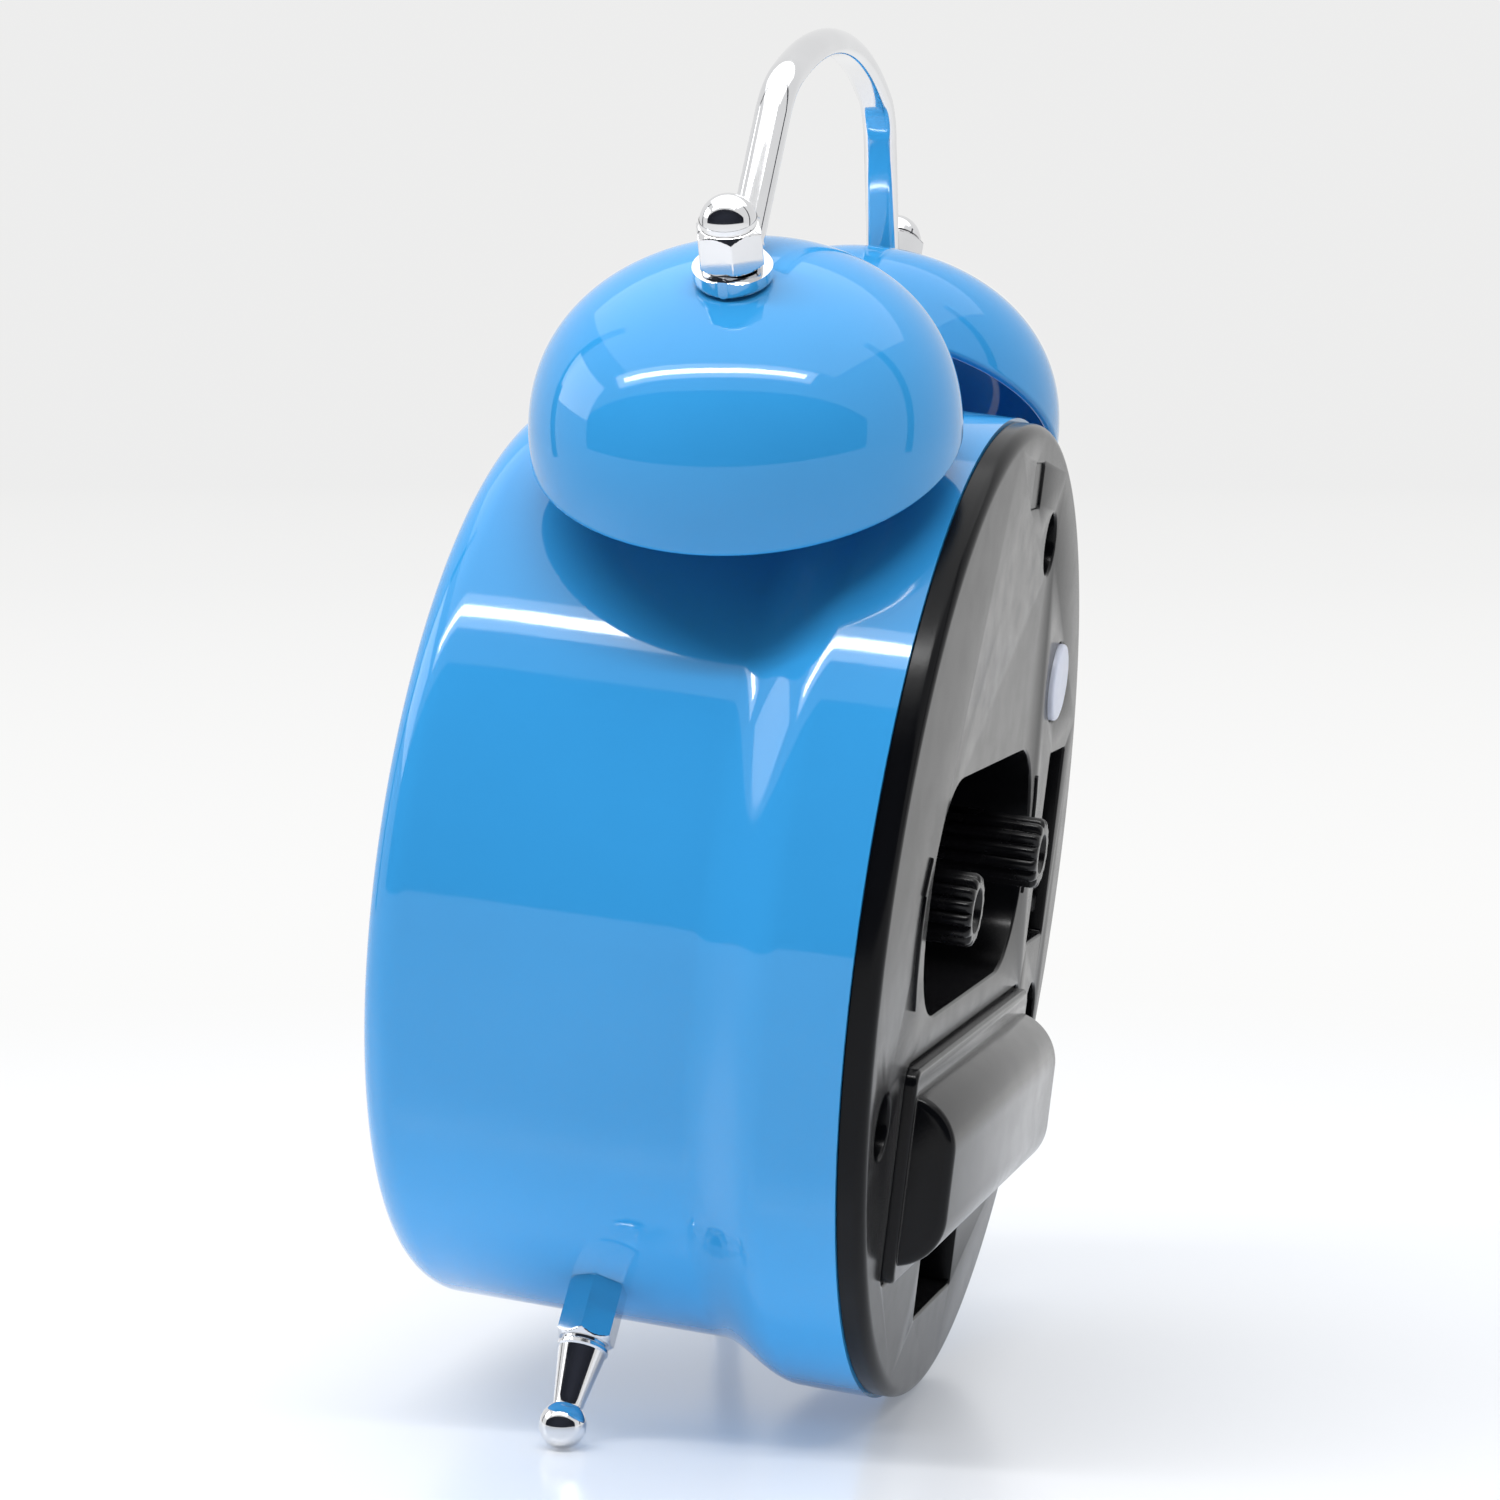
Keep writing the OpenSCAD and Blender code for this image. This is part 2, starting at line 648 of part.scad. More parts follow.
// Cone spring: a wire wound from a small end turn to a wide one
spring_turns = 3.5;
spring_wire = 0.3;
spring_drop = 1.6;
spring_sides = 8;
spring_rings = 42;
spring_x0 = -bay_w / 2;
spring_x1 = cell_x0 - spring_wire;
function spring_point(t) = let (a = 360 * spring_turns * t, r = 3.3 - 1.1 * t)
  [spring_x0 + spring_wire + 0.05 + (spring_x1 - spring_x0 - spring_wire - 0.1) * t,
    cell_y - spring_drop + r * cos(a), cell_z + r * sin(a)];
function spring_ring(t) = let (a = 360 * spring_turns * t, c = spring_point(t))
  [for (k = [0 : spring_sides - 1]) let (b = 360 * k / spring_sides)
    c + spring_wire * [sin(b), cos(b) * cos(a), cos(b) * sin(a)]];
module contact_spring() color("silver") clock_frame() polyhedron(
  points = [for (i = [0 : spring_rings]) each spring_ring(i / spring_rings)],
  faces = concat(
    [[for (k = [0 : spring_sides - 1]) k]],
    [for (i = [0 : spring_rings - 1], k = [0 : spring_sides - 1])
      let (n = (k + 1) % spring_sides, a = i * spring_sides)
      [a + k, a + spring_sides + k, a + spring_sides + n, a + n]],
    [[for (k = [spring_sides - 1 : -1 : 0]) spring_rings * spring_sides + k]]));

module power_leads() color("red") clock_frame()
  for (s = [-1, 1]) bar([s * 16, -22], 0.6, move_back, bay_floor - moulding, 16);

// ---- bells ----

stud_in = 4.5;
stud_seat = 0.35;
module bell_stud(s) color("silver") clock_frame() bell_frame(s) {
  translate([0, 0, drum_in - stud_in])
    cylinder(r = thread_r, h = tab_d + tab_t + cap_bore - 0.2 - drum_in + stud_in, $fn = 48);
  translate([0, 0, drum_r + stud_seat]) cylinder(r = 2.4, h = bush_d - drum_r - stud_seat, $fn = 48);
  translate([0, 0, drum_r + stud_seat]) linear_extrude(2.4) hex(7);
}
module bell_stud_right() bell_stud(1);
module bell_stud_left() bell_stud(-1);

// Domed profile: a lip that is nearly upright and a crown that flattens out
dome_power = 2.45;
function dome(r, h, n) = [for (i = [0 : n]) let (a = 90 * i / n)
  [r * pow(cos(a), 2 / dome_power), h * pow(sin(a), 2 / dome_power)]];

module bell(s) color("dodgerblue") clock_frame() bell_frame(s)
  translate([0, 0, bell_rim_d]) difference() {
    rotate_extrude() polygon(concat(
      dome(bell_r, bell_h, 24),
      [for (i = [24 : -1 : 0]) dome(bell_r - bell_wall, bell_h - bell_wall, 24)[i]]));
    cylinder(r = thread_r + 0.1, h = 3 * bell_h, $fn = 48);
  }
module bell_right() bell(1);
module bell_left() bell(-1);

module bell_bushes() color("black") clock_frame() for (s = [-1, 1])
  bell_frame(s) translate([0, 0, bush_d]) difference() {
    cylinder(r = 3.2, h = 1);
    translate([0, 0, -1]) cylinder(r = thread_r + 0.1, h = 3, $fn = 48);
  }

// Hex nut with a plain hole, just inside the drum's wall
nut_h = 2.4;
module nut() translate([0, 0, drum_in - nut_h - 0.3]) difference() {
  linear_extrude(nut_h) hex(nut_af);
  translate([0, 0, -1]) cylinder(r = thread_r, h = nut_h + 2, $fn = 48);
}
module stud_nuts() color("silver") clock_frame() for (s = [-1, 1]) bell_frame(s) nut();
module foot_nuts() color("silver") clock_frame() for (s = [-1, 1]) radial(180 + s * foot_tilt, -foot_y) nut();

// Domed cap nut: chamfered hexagon and dome
cap_hex_h = 4;
cap_r = 2.65;
cap_top = 6.8;
cap_bore = 4.6;
module cap_nuts() color("silver") clock_frame() for (s = [-1, 1])
  bell_frame(s) translate([0, 0, tab_d + tab_t]) difference() {
    union() {
      intersection() {
        rotate([0, 0, 16]) linear_extrude(cap_hex_h) hex(nut_af + 0.1);
        rotate_extrude() polygon([
          [0, 0], [2.9, 0], [3.4, 0.5], [3.4, cap_hex_h - 0.6], [2.75, cap_hex_h], [0, cap_hex_h]]);
      }
      cylinder(r = cap_r, h = cap_top - cap_r);
      translate([0, 0, cap_top - cap_r]) sphere(r = cap_r, $fn = 48);
    }
    translate([0, 0, -1]) cylinder(r = thread_r, h = 1 + cap_bore, $fn = 48);
  }

// ---- handle ----

// D-shaped section: flat inside, round outside at +X
strip_crown = 0.8;
strip_round = (strip_w * strip_w / 4 + strip_crown * strip_crown) / (2 * strip_crown);
strip_half_a = asin(strip_w / 2 / strip_round);
strip_outline = concat(
  [[-strip_t / 2, -strip_w / 2 + 0.25], [-strip_t / 2 + 0.25, -strip_w / 2]],
  arc(strip_t / 2 - strip_round, 0, strip_round, -strip_half_a, strip_half_a, 8),
  [[-strip_t / 2 + 0.25, strip_w / 2], [-strip_t / 2, strip_w / 2 - 0.25]]);

arch_c = handle_z - arch_r;
shoulder_c = [(arch_r - shoulder_r) * sin(arch_a), arch_c + (arch_r - shoulder_r) * cos(arch_a)];
leg_a = 61;
foot_bend_r = 1.75;
leg_top = shoulder_c + shoulder_r * [sin(leg_a), cos(leg_a)];
leg_dir = [cos(leg_a), -sin(leg_a)];
bell_dir = [sin(bell_tilt), cos(bell_tilt)];
out_dir = [cos(bell_tilt), -sin(bell_tilt)];
leg_side = [sin(leg_a), cos(leg_a)];
// The leg is as long as it takes for the tab to come out level with the bell's crown
tab_mid = tab_d + strip_t / 2;
// The bow leans back a little from the bells, about its tabs
handle_lean = 1.9;
tab_z = tab_d * cos(bell_tilt);
leg_len = ((leg_top + foot_bend_r * (leg_side - bell_dir)) * bell_dir - tab_mid) / -(leg_dir * bell_dir);
tab_start = leg_top + leg_len * leg_dir + foot_bend_r * (leg_side - bell_dir);
tab_reach = (bell_dir * tab_mid - tab_start) * out_dir;

// Stations along the strip, [x, z, angle of its outward side from +Z towards +X]
function turn(c, r, a0, a1, n, from = 1) = [for (i = [from : n]) let (a = a0 + (a1 - a0) * i / n)
  [c[0] + r * sin(a), c[1] + r * cos(a), a]];
half_path = concat(
  turn([0, arch_c], arch_r, 0, arch_a, 7),
  turn(shoulder_c, shoulder_r, arch_a, leg_a, 14),
  turn(leg_top + leg_len * leg_dir + foot_bend_r * leg_side, -foot_bend_r, leg_a, bell_tilt, 8, 0));
half_n = len(half_path);
strip_path = concat(
  [for (i = [half_n - 1 : -1 : 0]) [-half_path[i][0], half_path[i][1], -half_path[i][2]]],
  [[0, handle_z, 0]],
  half_path);

module strip() {
  m = len(strip_outline);
  n = len(strip_path);
  polyhedron(
    points = [for (q = strip_path, p = strip_outline)
      [q[0] + p[0] * sin(q[2]), p[1], q[1] + p[0] * cos(q[2])]],
    faces = concat(
      [[for (k = [m - 1 : -1 : 0]) k]],
      [for (i = [0 : n - 2], k = [0 : m - 1]) let (a = i * m, j = (k + 1) % m) each [
        [a + k, a + m + j, a + m + k], [a + k, a + j, a + m + j]]],
      [[for (k = [0 : m - 1]) (n - 1) * m + k]]));
}

// The tab is a flat eye under the cap nut, let into the strip's end
tab_lap = 0.8;
eye_r = 3.7;
module handle() color("silver") clock_frame() difference() {
  union() {
    bell_frame(0) translate([0, 0, tab_z]) rotate([-handle_lean, 0, 0])
      translate([0, 0, -tab_z]) strip();
    for (s = [-1, 1]) bell_frame(s) translate([0, 0, tab_d]) {
      cylinder(r = eye_r, h = tab_t);
      translate([s < 0 ? 0 : -tab_reach - tab_lap, -strip_w / 2 + 0.1, 0])
        cube([tab_reach + tab_lap, strip_w - 0.2, tab_t]);
    }
  }
  for (s = [-1, 1]) bell_frame(s) translate([0, 0, tab_d - 1])
    cylinder(r = thread_r + 0.1, h = 5, $fn = 48);
}

// ---- feet ----

foot_hex_h = 6;
module foot(s) color("silver") clock_frame() radial(180 + s * foot_tilt, -foot_y) {
  translate([0, 0, drum_in - 4]) cylinder(r = thread_r, h = 5, $fn = 48);
  translate([0, 0, drum_r + 0.05]) intersection() {
    linear_extrude(foot_hex_h) hex(5.1);
    rotate_extrude() polygon([
      [0, 0], [2.95, 0], [2.95, foot_hex_h - 0.4], [2.5, foot_hex_h], [0, foot_hex_h]]);
  }
  translate([0, 0, drum_r + 0.05 + foot_hex_h])
    cylinder(r1 = 2.35, r2 = 1.4, h = foot_d - drum_r - foot_hex_h - 1.6, $fn = 48);
  translate([0, 0, foot_d]) sphere(r = ball_r, $fn = 48);
}
module foot_right() foot(-1);
module foot_left() foot(1);

// ---- hands ----

// Flat hand: hub disc and tapered blade, turned clockwise as seen from the front
module hand(i, hub, bore, blade, width, tail, angle) rotate([0, -angle, 0]) difference() {
  plate(hand_y(i), hand_t) {
    circle(hub);
    polygon([
      [-width / 2, -tail], [width / 2, -tail], [width / 2, blade - 2 * width],
      [0, blade], [-width / 2, blade - 2 * width]]);
  }
  bar([0, 0], bore, hand_y(i) - 1, hand_y(i) + 2, 32);
}

module alarm_hand() color("red") clock_frame() hand(0, 3.6, alarm_r, 20, 1.2, 0, 0);
module hour_hand() color("black") clock_frame() hand(1, 2.9, hour_r, 22, 2.4, 5, 60);
module minute_hand() color("black") clock_frame() hand(2, 2.2, cannon_r, 32, 2, 6, 300);
module second_hand() color("red") clock_frame() hand(3, 1.6, second_r, 33, 0.8, 9, 180);

case_shell();
front_lens();
dial_ring();
dial();
post_ring();
rear_cover();
cover_screws();
battery_door();
alarm_switch();
light_button();
light_switch();
time_knob();
motion_wheel();
alarm_knob();
alarm_pinion();
alarm_wheel();
alarm_hand();
hour_wheel();
hour_hand();
cannon_pinion();
minute_hand();
second_wheel();
second_hand();
centre_wheel();
third_wheel();
step_wheel();
rotor();
movement_base();
movement_cover();
movement_screws();
wheel_pins();
stator();
step_coil();
circuit_board();
striker_bracket();
striker_coil();
striker_core();
hammer_arm();
hammer_head();
battery_cell();
contact_plate();
contact_spring();
power_leads();
dial_lamp();
bell_stud_right();
bell_stud_left();
stud_nuts();
bell_bushes();
bell_right();
bell_left();
handle();
cap_nuts();
foot_right();
foot_left();
foot_nuts();
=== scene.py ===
import json
import math

import bmesh
import bpy
from mathutils import Matrix, Vector


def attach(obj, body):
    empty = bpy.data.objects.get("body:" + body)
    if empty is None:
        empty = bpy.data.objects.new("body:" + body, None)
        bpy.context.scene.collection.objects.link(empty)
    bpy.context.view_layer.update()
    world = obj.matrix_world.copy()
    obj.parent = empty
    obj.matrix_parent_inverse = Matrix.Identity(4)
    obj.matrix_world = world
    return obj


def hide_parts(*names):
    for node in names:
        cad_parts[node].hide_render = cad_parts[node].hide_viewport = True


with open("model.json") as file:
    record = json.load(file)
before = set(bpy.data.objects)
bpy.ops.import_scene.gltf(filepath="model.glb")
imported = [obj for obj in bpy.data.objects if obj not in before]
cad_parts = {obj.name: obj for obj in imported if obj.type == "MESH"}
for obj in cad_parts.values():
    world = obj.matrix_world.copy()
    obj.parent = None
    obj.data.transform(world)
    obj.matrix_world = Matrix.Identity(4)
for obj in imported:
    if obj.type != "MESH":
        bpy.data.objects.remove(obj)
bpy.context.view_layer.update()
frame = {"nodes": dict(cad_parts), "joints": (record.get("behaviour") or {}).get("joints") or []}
nodes = frame["nodes"]

MM = 0.001
TAU = 2 * math.pi

# ---- the clock's own frame: Y is the drum's axis, y = 0 the seam of drum and cover ----

HAND_PIVOT = 36.0
axle = next(j for j in frame["joints"] if j["name"] == "second_hand_turn")
AXIS = Vector(axle["axis"])
SEAM = Vector(axle["pos_m"]) + AXIS * HAND_PIVOT * MM
LEAN = math.atan2(-AXIS.z, AXIS.y)
CLOCK = Matrix.Translation(SEAM) @ Matrix.Rotation(-LEAN, 4, "X") @ Matrix.Scale(MM, 4)
ALONG_Y = Matrix.Rotation(-math.pi / 2, 4, "X")


def radial(tilt, y):
    """Places a shape built along Z on the radial line at an angle from the top."""
    return Matrix.Translation((0, y, 0)) @ Matrix.Rotation(math.radians(tilt), 4, "Y")


def bell_frame(side):
    """Places a shape built along Z on a bell's line, which leans towards the dial about the rims' height."""
    return (Matrix.Translation((0, BELL_Y, PIVOT)) @ Matrix.Rotation(math.radians(BELL_LEAN), 4, "X")
            @ Matrix.Translation((0, 0, -PIVOT)) @ Matrix.Rotation(math.radians(side * BELL_TILT), 4, "Y"))


# ---- sizes in millimetres and degrees: the CAD's own, with edges and corners finer here ----

# Drum, its slot for the hammer, and the dial's front face. Its straight wall has rows at DRUM_ROWS
DRUM_R, RIM_R, LIP_R = 45.1, 48.4, 38.6
DRUM_LEN, STEEL, FRONT_ROUND = 46.9, 0.85, 4.3
FLARE_Y0, FLARE_Y1, FLARE_STEPS = -15.5, -6.9, 30
SLOT_HALF, SLOT_Y0, SLOT_Y1 = 5.6, -22.9, -17.9
DRUM_ROWS = (SLOT_Y1, SLOT_Y0, -28, -33, -38)
DIAL_Y = -36.5

# Bells: D is the distance of the rim from the drum's axis
BELL_TILT, BELL_LEAN, BELL_Y = 30.5, 4.0, -20.4
BELL_R, BELL_H, BELL_D, BELL_WALL = 20.2, 16.9, 51.4, 1.0
DOME_POWER = 2.45
PIVOT = BELL_D * math.cos(math.radians(BELL_TILT))

# Handle: the strip's crown is higher than the CAD's
TAB_D = BELL_D + BELL_H + 0.15
TAB_T = 1.7
TAB_Z = TAB_D * math.cos(math.radians(BELL_TILT))
STRIP_W, STRIP_T, STRIP_CROWN = 3.3, 2.5, 1.15
HANDLE_Z, HANDLE_LEAN, EYE_R = 82.45, 1.9, 3.7
ARCH_R, SHOULDER_R, FOOT_BEND_R = 52.0, 9.0, 1.75
ARCH_A, LEG_A = 23.0, 61.0

# Feet
FOOT_TILT, FOOT_Y, BALL_R, FOOT_HEX_H = 34, -25.1, 2.25, 6.0

# Rear cover and what is let into it
FACE_Y, COVER_R, COVER_ROUND, SKIN, SKIRT_R = 2.6, 48.05, 1.2, 1.8, 47.45
WALL = 1.2
RECESS = dict(at=(2.8, 3.6), w=50.6, h=22.6, r=9.6, floor=-6.7)
SLOT = dict(at=(-35.5, 3.0), w=9.2, h=20.0, r=0.4, floor=-4.4)
NOTCH = dict(at=(0.0, -35.5), w=18.6, h=7.4, r=0.4, floor=-1.8)
BAY = dict(at=(0.0, -22.0), w=57.6, h=16.8, r=0.4, floor=-8.9)
MARK_FIELD = dict(at=(-2.2, 42.0), w=5.0, h=4.4, r=0.5, floor=FACE_Y - 0.25)
WELLS = [(38.4, -15.4), (-38.4, -15.4), (-13.9, 35.8)]
WELL_R, WELL_FLOOR = 3.1, -7.4
BUTTON, BUTTON_HOLE_R = (-28.8, 20.8), 4.15
TIME_POS, ALARM_POS = (-9.6, 5.3), (14.4, 2.1)

# Battery door: a flange with a bulge over the cell
DOOR = dict(at=(0.0, -21.6), w=59.0, h=20.4, r=1.5)
THUMB_LIP = dict(at=(0.0, -31.9), w=8.0, h=1.6, r=0.3)   # laps the flange a little more than in the CAD
DOOR_GAP, DOOR_SKIN, FLANGE_T, FLANGE_RISE = 0.3, 0.9, 1.1, 1.1
CELL_Y, CELL_Z = -0.75, -22.0
BULGE_R, BULGE_W, BULGE_H, BULGE_CORNER = 8.5, 56.8, 16.6, 5.2

# =====================================================================
# Materials: every one is built from nodes on object coordinates (metres)
# =====================================================================


def shader(name, base, rough, vary=0.04, patch=60.0, metal=0.0, bump=0.0, grain=2000.0, detail=2.0,
           coat=0.0, coat_rough=0.03, specular=0.5, sheen=0.0, alpha=1.0, stretch=(1, 1, 1), speck=0.0):
    """A Principled material with patchy colour, a roughness range and a fine surface grain.

    patch and grain are noise scales, vary is the colour's spread, bump is the grain's depth in
    millimetres, and speck is how much the grain darkens the colour.
    """
    mat = bpy.data.materials.new(name)
    mat.use_nodes = True
    nt = mat.node_tree
    bsdf = nt.nodes["Principled BSDF"]
    new, link = nt.nodes.new, nt.links.new
    coord = new("ShaderNodeTexCoord")
    space = new("ShaderNodeMapping")
    space.inputs["Scale"].default_value = stretch
    link(coord.outputs["Object"], space.inputs["Vector"])

    def noise(scale, octaves):
        """A noise value on the object's own, perhaps stretched, coordinates."""
        n = new("ShaderNodeTexNoise")
        n.inputs["Scale"].default_value = scale
        n.inputs["Detail"].default_value = octaves
        link(space.outputs["Vector"], n.inputs["Vector"])
        return n.outputs["Fac"]

    cloud = noise(patch, 3.0)
    tone = new("ShaderNodeValToRGB")
    tone.color_ramp.elements[0].position = 0.3
    tone.color_ramp.elements[1].position = 0.7
    tone.color_ramp.elements[0].color = (*[c * (1 - vary) for c in base], 1)
    tone.color_ramp.elements[1].color = (*[min(1.0, c * (1 + vary)) for c in base], 1)
    link(cloud, tone.inputs["Fac"])
    colour = tone.outputs["Color"]
    if speck:
        dots = noise(grain, 2.0)
        dark = new("ShaderNodeMapRange")
        dark.inputs["From Min"].default_value = 0.35
        dark.inputs["From Max"].default_value = 0.65
        dark.inputs["To Min"].default_value = 1 - speck
        dark.inputs["To Max"].default_value = 1.0
        link(dots, dark.inputs["Value"])
        mix = new("ShaderNodeMix")
        mix.data_type = "RGBA"
        mix.blend_type = "MULTIPLY"
        mix.inputs["Factor"].default_value = 1.0
        link(colour, mix.inputs[6])
        link(dark.outputs["Result"], mix.inputs[7])
        colour = mix.outputs[2]
    link(colour, bsdf.inputs["Base Color"])
    smear = new("ShaderNodeMapRange")
    smear.inputs["From Min"].default_value = 0.3
    smear.inputs["From Max"].default_value = 0.7
    smear.inputs["To Min"].default_value = rough[0]
    smear.inputs["To Max"].default_value = rough[1]
    link(noise(patch * 3.1, 4.0), smear.inputs["Value"])
    link(smear.outputs["Result"], bsdf.inputs["Roughness"])
    if bump:
        relief = new("ShaderNodeBump")
        relief.inputs["Strength"].default_value = 1.0
        relief.inputs["Distance"].default_value = bump * MM
        link(noise(grain, detail), relief.inputs["Height"])
        link(relief.outputs["Normal"], bsdf.inputs["Normal"])
    bsdf.inputs["Metallic"].default_value = metal
    bsdf.inputs["Coat Weight"].default_value = coat
    bsdf.inputs["Coat Roughness"].default_value = coat_rough
    bsdf.inputs["IOR"].default_value = 1.5
    bsdf.inputs["Specular IOR Level"].default_value = specular
    bsdf.inputs["Sheen Weight"].default_value = sheen
    bsdf.inputs["Sheen Roughness"].default_value = 0.3
    bsdf.inputs["Alpha"].default_value = alpha
    return mat


BLUE = (0.031, 0.262, 0.580)
paint = shader("gloss_blue_enamel", BLUE, (0.035, 0.07), vary=0.025, patch=45, bump=0.0022, grain=520,
               detail=1.0)
bell_coat = shader("gloss_blue_bell_enamel", BLUE, (0.03, 0.065), vary=0.025, patch=60, bump=0.0022,
                   grain=560, detail=1.0)
chrome = shader("bright_chrome", (0.78, 0.785, 0.80), (0.05, 0.10), vary=0.03, patch=140, metal=1,
                bump=0.0002, grain=700)
steel = shader("zinc_plated_steel", (0.56, 0.57, 0.58), (0.22, 0.38), vary=0.10, patch=220, metal=1,
               bump=0.004, grain=2600, stretch=(1, 4, 1))
black = shader("moulded_black_plastic", (0.0026, 0.0028, 0.0036), (0.16, 0.22), vary=0.12, patch=90,
               bump=0.003, grain=2600, specular=0.14, sheen=0.04)
door_black = shader("grained_black_plastic", (0.0030, 0.0032, 0.0040), (0.13, 0.19), vary=0.12, patch=90,
                    bump=0.003, grain=2600, specular=0.20, sheen=0.20)
knob_black = shader("smooth_black_plastic", (0.0030, 0.0030, 0.0038), (0.20, 0.30), vary=0.15, patch=160,
                    bump=0.003, grain=2600, specular=0.30)
pale = shader("pale_button_plastic", (0.60, 0.64, 0.76), (0.28, 0.38), vary=0.04, patch=200,
              bump=0.004, grain=2400)
glass = shader("clear_lens", (0.90, 0.95, 0.96), (0.02, 0.06), vary=0.02, patch=70, alpha=0.10, coat=1.0,
               coat_rough=0.02)
card = shader("ivory_dial_card", (0.86, 0.845, 0.79), (0.45, 0.60), vary=0.02, patch=50, bump=0.003,
              grain=2500, speck=0.03)
ink = shader("printed_black_ink", (0.012, 0.012, 0.014), (0.35, 0.5), vary=0.2, patch=300, bump=0.002,
             grain=3000)
white = shader("white_moulding", (0.80, 0.80, 0.77), (0.35, 0.48), vary=0.03, patch=80, bump=0.006,
               grain=2200)
hand_black = shader("black_lacquer", (0.012, 0.012, 0.014), (0.18, 0.28), vary=0.15, patch=200,
                    bump=0.002, grain=2600)
hand_red = shader("red_lacquer", (0.55, 0.025, 0.02), (0.2, 0.3), vary=0.08, patch=200, bump=0.002,
                  grain=2600)
brass = shader("cut_brass", (0.80, 0.58, 0.25), (0.20, 0.34), vary=0.10, patch=260, metal=1,
               bump=0.003, grain=3000)
copper = shader("wound_copper", (0.70, 0.27, 0.13), (0.25, 0.40), vary=0.12, patch=300, metal=0.7, bump=0.05,
                grain=260, stretch=(1, 24, 1))
board = shader("green_circuit_board", (0.015, 0.16, 0.06), (0.25, 0.42), vary=0.25, patch=600,
               bump=0.02, grain=1500)
iron = shader("sintered_iron", (0.16, 0.16, 0.165), (0.45, 0.62), vary=0.2, patch=400, metal=0.8,
              bump=0.02, grain=2600)
wrap = shader("printed_cell_sleeve", (0.62, 0.24, 0.03), (0.16, 0.26), vary=0.05, patch=120, coat=0.4,
              bump=0.003, grain=900)
lead = shader("red_lead_sleeve", (0.50, 0.02, 0.018), (0.30, 0.42), vary=0.08, patch=300, bump=0.006,
              grain=1800)
rubber = shader("black_rubber", (0.018, 0.018, 0.018), (0.65, 0.8), vary=0.2, patch=300, bump=0.02,
                grain=2200)
nylon = shader("natural_nylon", (0.72, 0.68, 0.56), (0.35, 0.5), vary=0.05, patch=200, bump=0.006, grain=2200)
resin = shader("lamp_resin", (0.90, 0.86, 0.62), (0.08, 0.14), vary=0.04, patch=300, coat=0.5,
               bump=0.002, grain=1800)

FINISH = {
    paint: "case_shell", bell_coat: "bell_right bell_left",
    chrome: "handle cap_nuts foot_right foot_left bell_stud_right bell_stud_left hammer_head",
    steel: "cover_screws movement_screws wheel_pins striker_bracket hammer_arm contact_plate contact_spring"
           " stud_nuts foot_nuts",
    black: "rear_cover alarm_switch", door_black: "battery_door", knob_black: "time_knob alarm_knob",
    pale: "light_button", glass: "front_lens", card: "dial",
    white: "dial_ring post_ring movement_base movement_cover",
    hand_black: "hour_hand minute_hand", hand_red: "second_hand alarm_hand",
    brass: "motion_wheel alarm_pinion alarm_wheel hour_wheel cannon_pinion second_wheel centre_wheel"
           " third_wheel",
    nylon: "step_wheel", iron: "rotor stator striker_core", copper: "step_coil striker_coil",
    board: "circuit_board light_switch", wrap: "battery_cell", lead: "power_leads", rubber: "bell_bushes",
    resin: "dial_lamp",
}
for mat, names in FINISH.items():
    for name in names.split():
        nodes[name].data.materials.clear()
        nodes[name].data.materials.append(mat)

# =====================================================================
# Mesh helpers. Shapes are drawn in millimetres in the clock's frame
# =====================================================================


def add(name, verts, faces, place=Matrix.Identity(4)):
    """A new object from points and faces, with doubled points merged and outward normals."""
    bm = bmesh.new()
    pts = [bm.verts.new(place @ Vector(v)) for v in verts]
    for f in faces:
        bm.faces.new([pts[i] for i in f])
    bmesh.ops.remove_doubles(bm, verts=bm.verts, dist=1e-4)
    bmesh.ops.recalc_face_normals(bm, faces=bm.faces)
    me = bpy.data.meshes.new(name)
    bm.to_mesh(me)
    bm.free()
    obj = bpy.data.objects.new(name, me)
    bpy.context.scene.collection.objects.link(obj)
    return obj


def revolve(rows, steps=256, closed=False):
    """Points and faces of a turned shape about Z. A row is (radius, height); the radius may be a function."""
    verts = []
    for r, z in rows:
        for k in range(steps):
            a = TAU * k / steps
            rr = r(a) if callable(r) else r
            verts.append((rr * math.sin(a), rr * math.cos(a), z))
    n = len(rows)
    faces = []
    for i in range(n if closed else n - 1):
        a, b = i * steps, (i + 1) % n * steps
        faces += [(a + k, b + k, b + (k + 1) % steps, a + (k + 1) % steps) for k in range(steps)]
    if not closed:
        for i in (0, n - 1):
            r = rows[i][0]
            if callable(r) or r > 0:
                faces.append(tuple(range(i * steps, (i + 1) * steps)))
    return verts, faces


def arc(cx, cz, r, a0, a1, n):
    """Points on a circle, with angles in degrees from the first axis."""
    return [(cx + r * math.cos(math.radians(a0 + (a1 - a0) * i / n)),
             cz + r * math.sin(math.radians(a0 + (a1 - a0) * i / n))) for i in range(n + 1)]


def rounded(at, w, h, r, n=12, grow=0.0):
    """A rounded rectangle as (x, z) points."""
    w, h, r = w + 2 * grow, h + 2 * grow, max(0.05, r + grow)
    pts = []
    for sx, sz, a in ((1, 1, 0), (-1, 1, 90), (-1, -1, 180), (1, -1, 270)):
        pts += arc(at[0] + sx * (w / 2 - r), at[1] + sz * (h / 2 - r), r, a, a + 90, n)
    return pts


def prism(outline, y0, y1):
    """Points and faces of an (x, z) outline between two levels along Y."""
    n = len(outline)
    verts = [(x, y, z) for y in (y0, y1) for x, z in outline]
    faces = [tuple(range(n)), tuple(range(n, 2 * n))]
    faces += [(k, (k + 1) % n, n + (k + 1) % n, n + k) for k in range(n)]
    return verts, faces


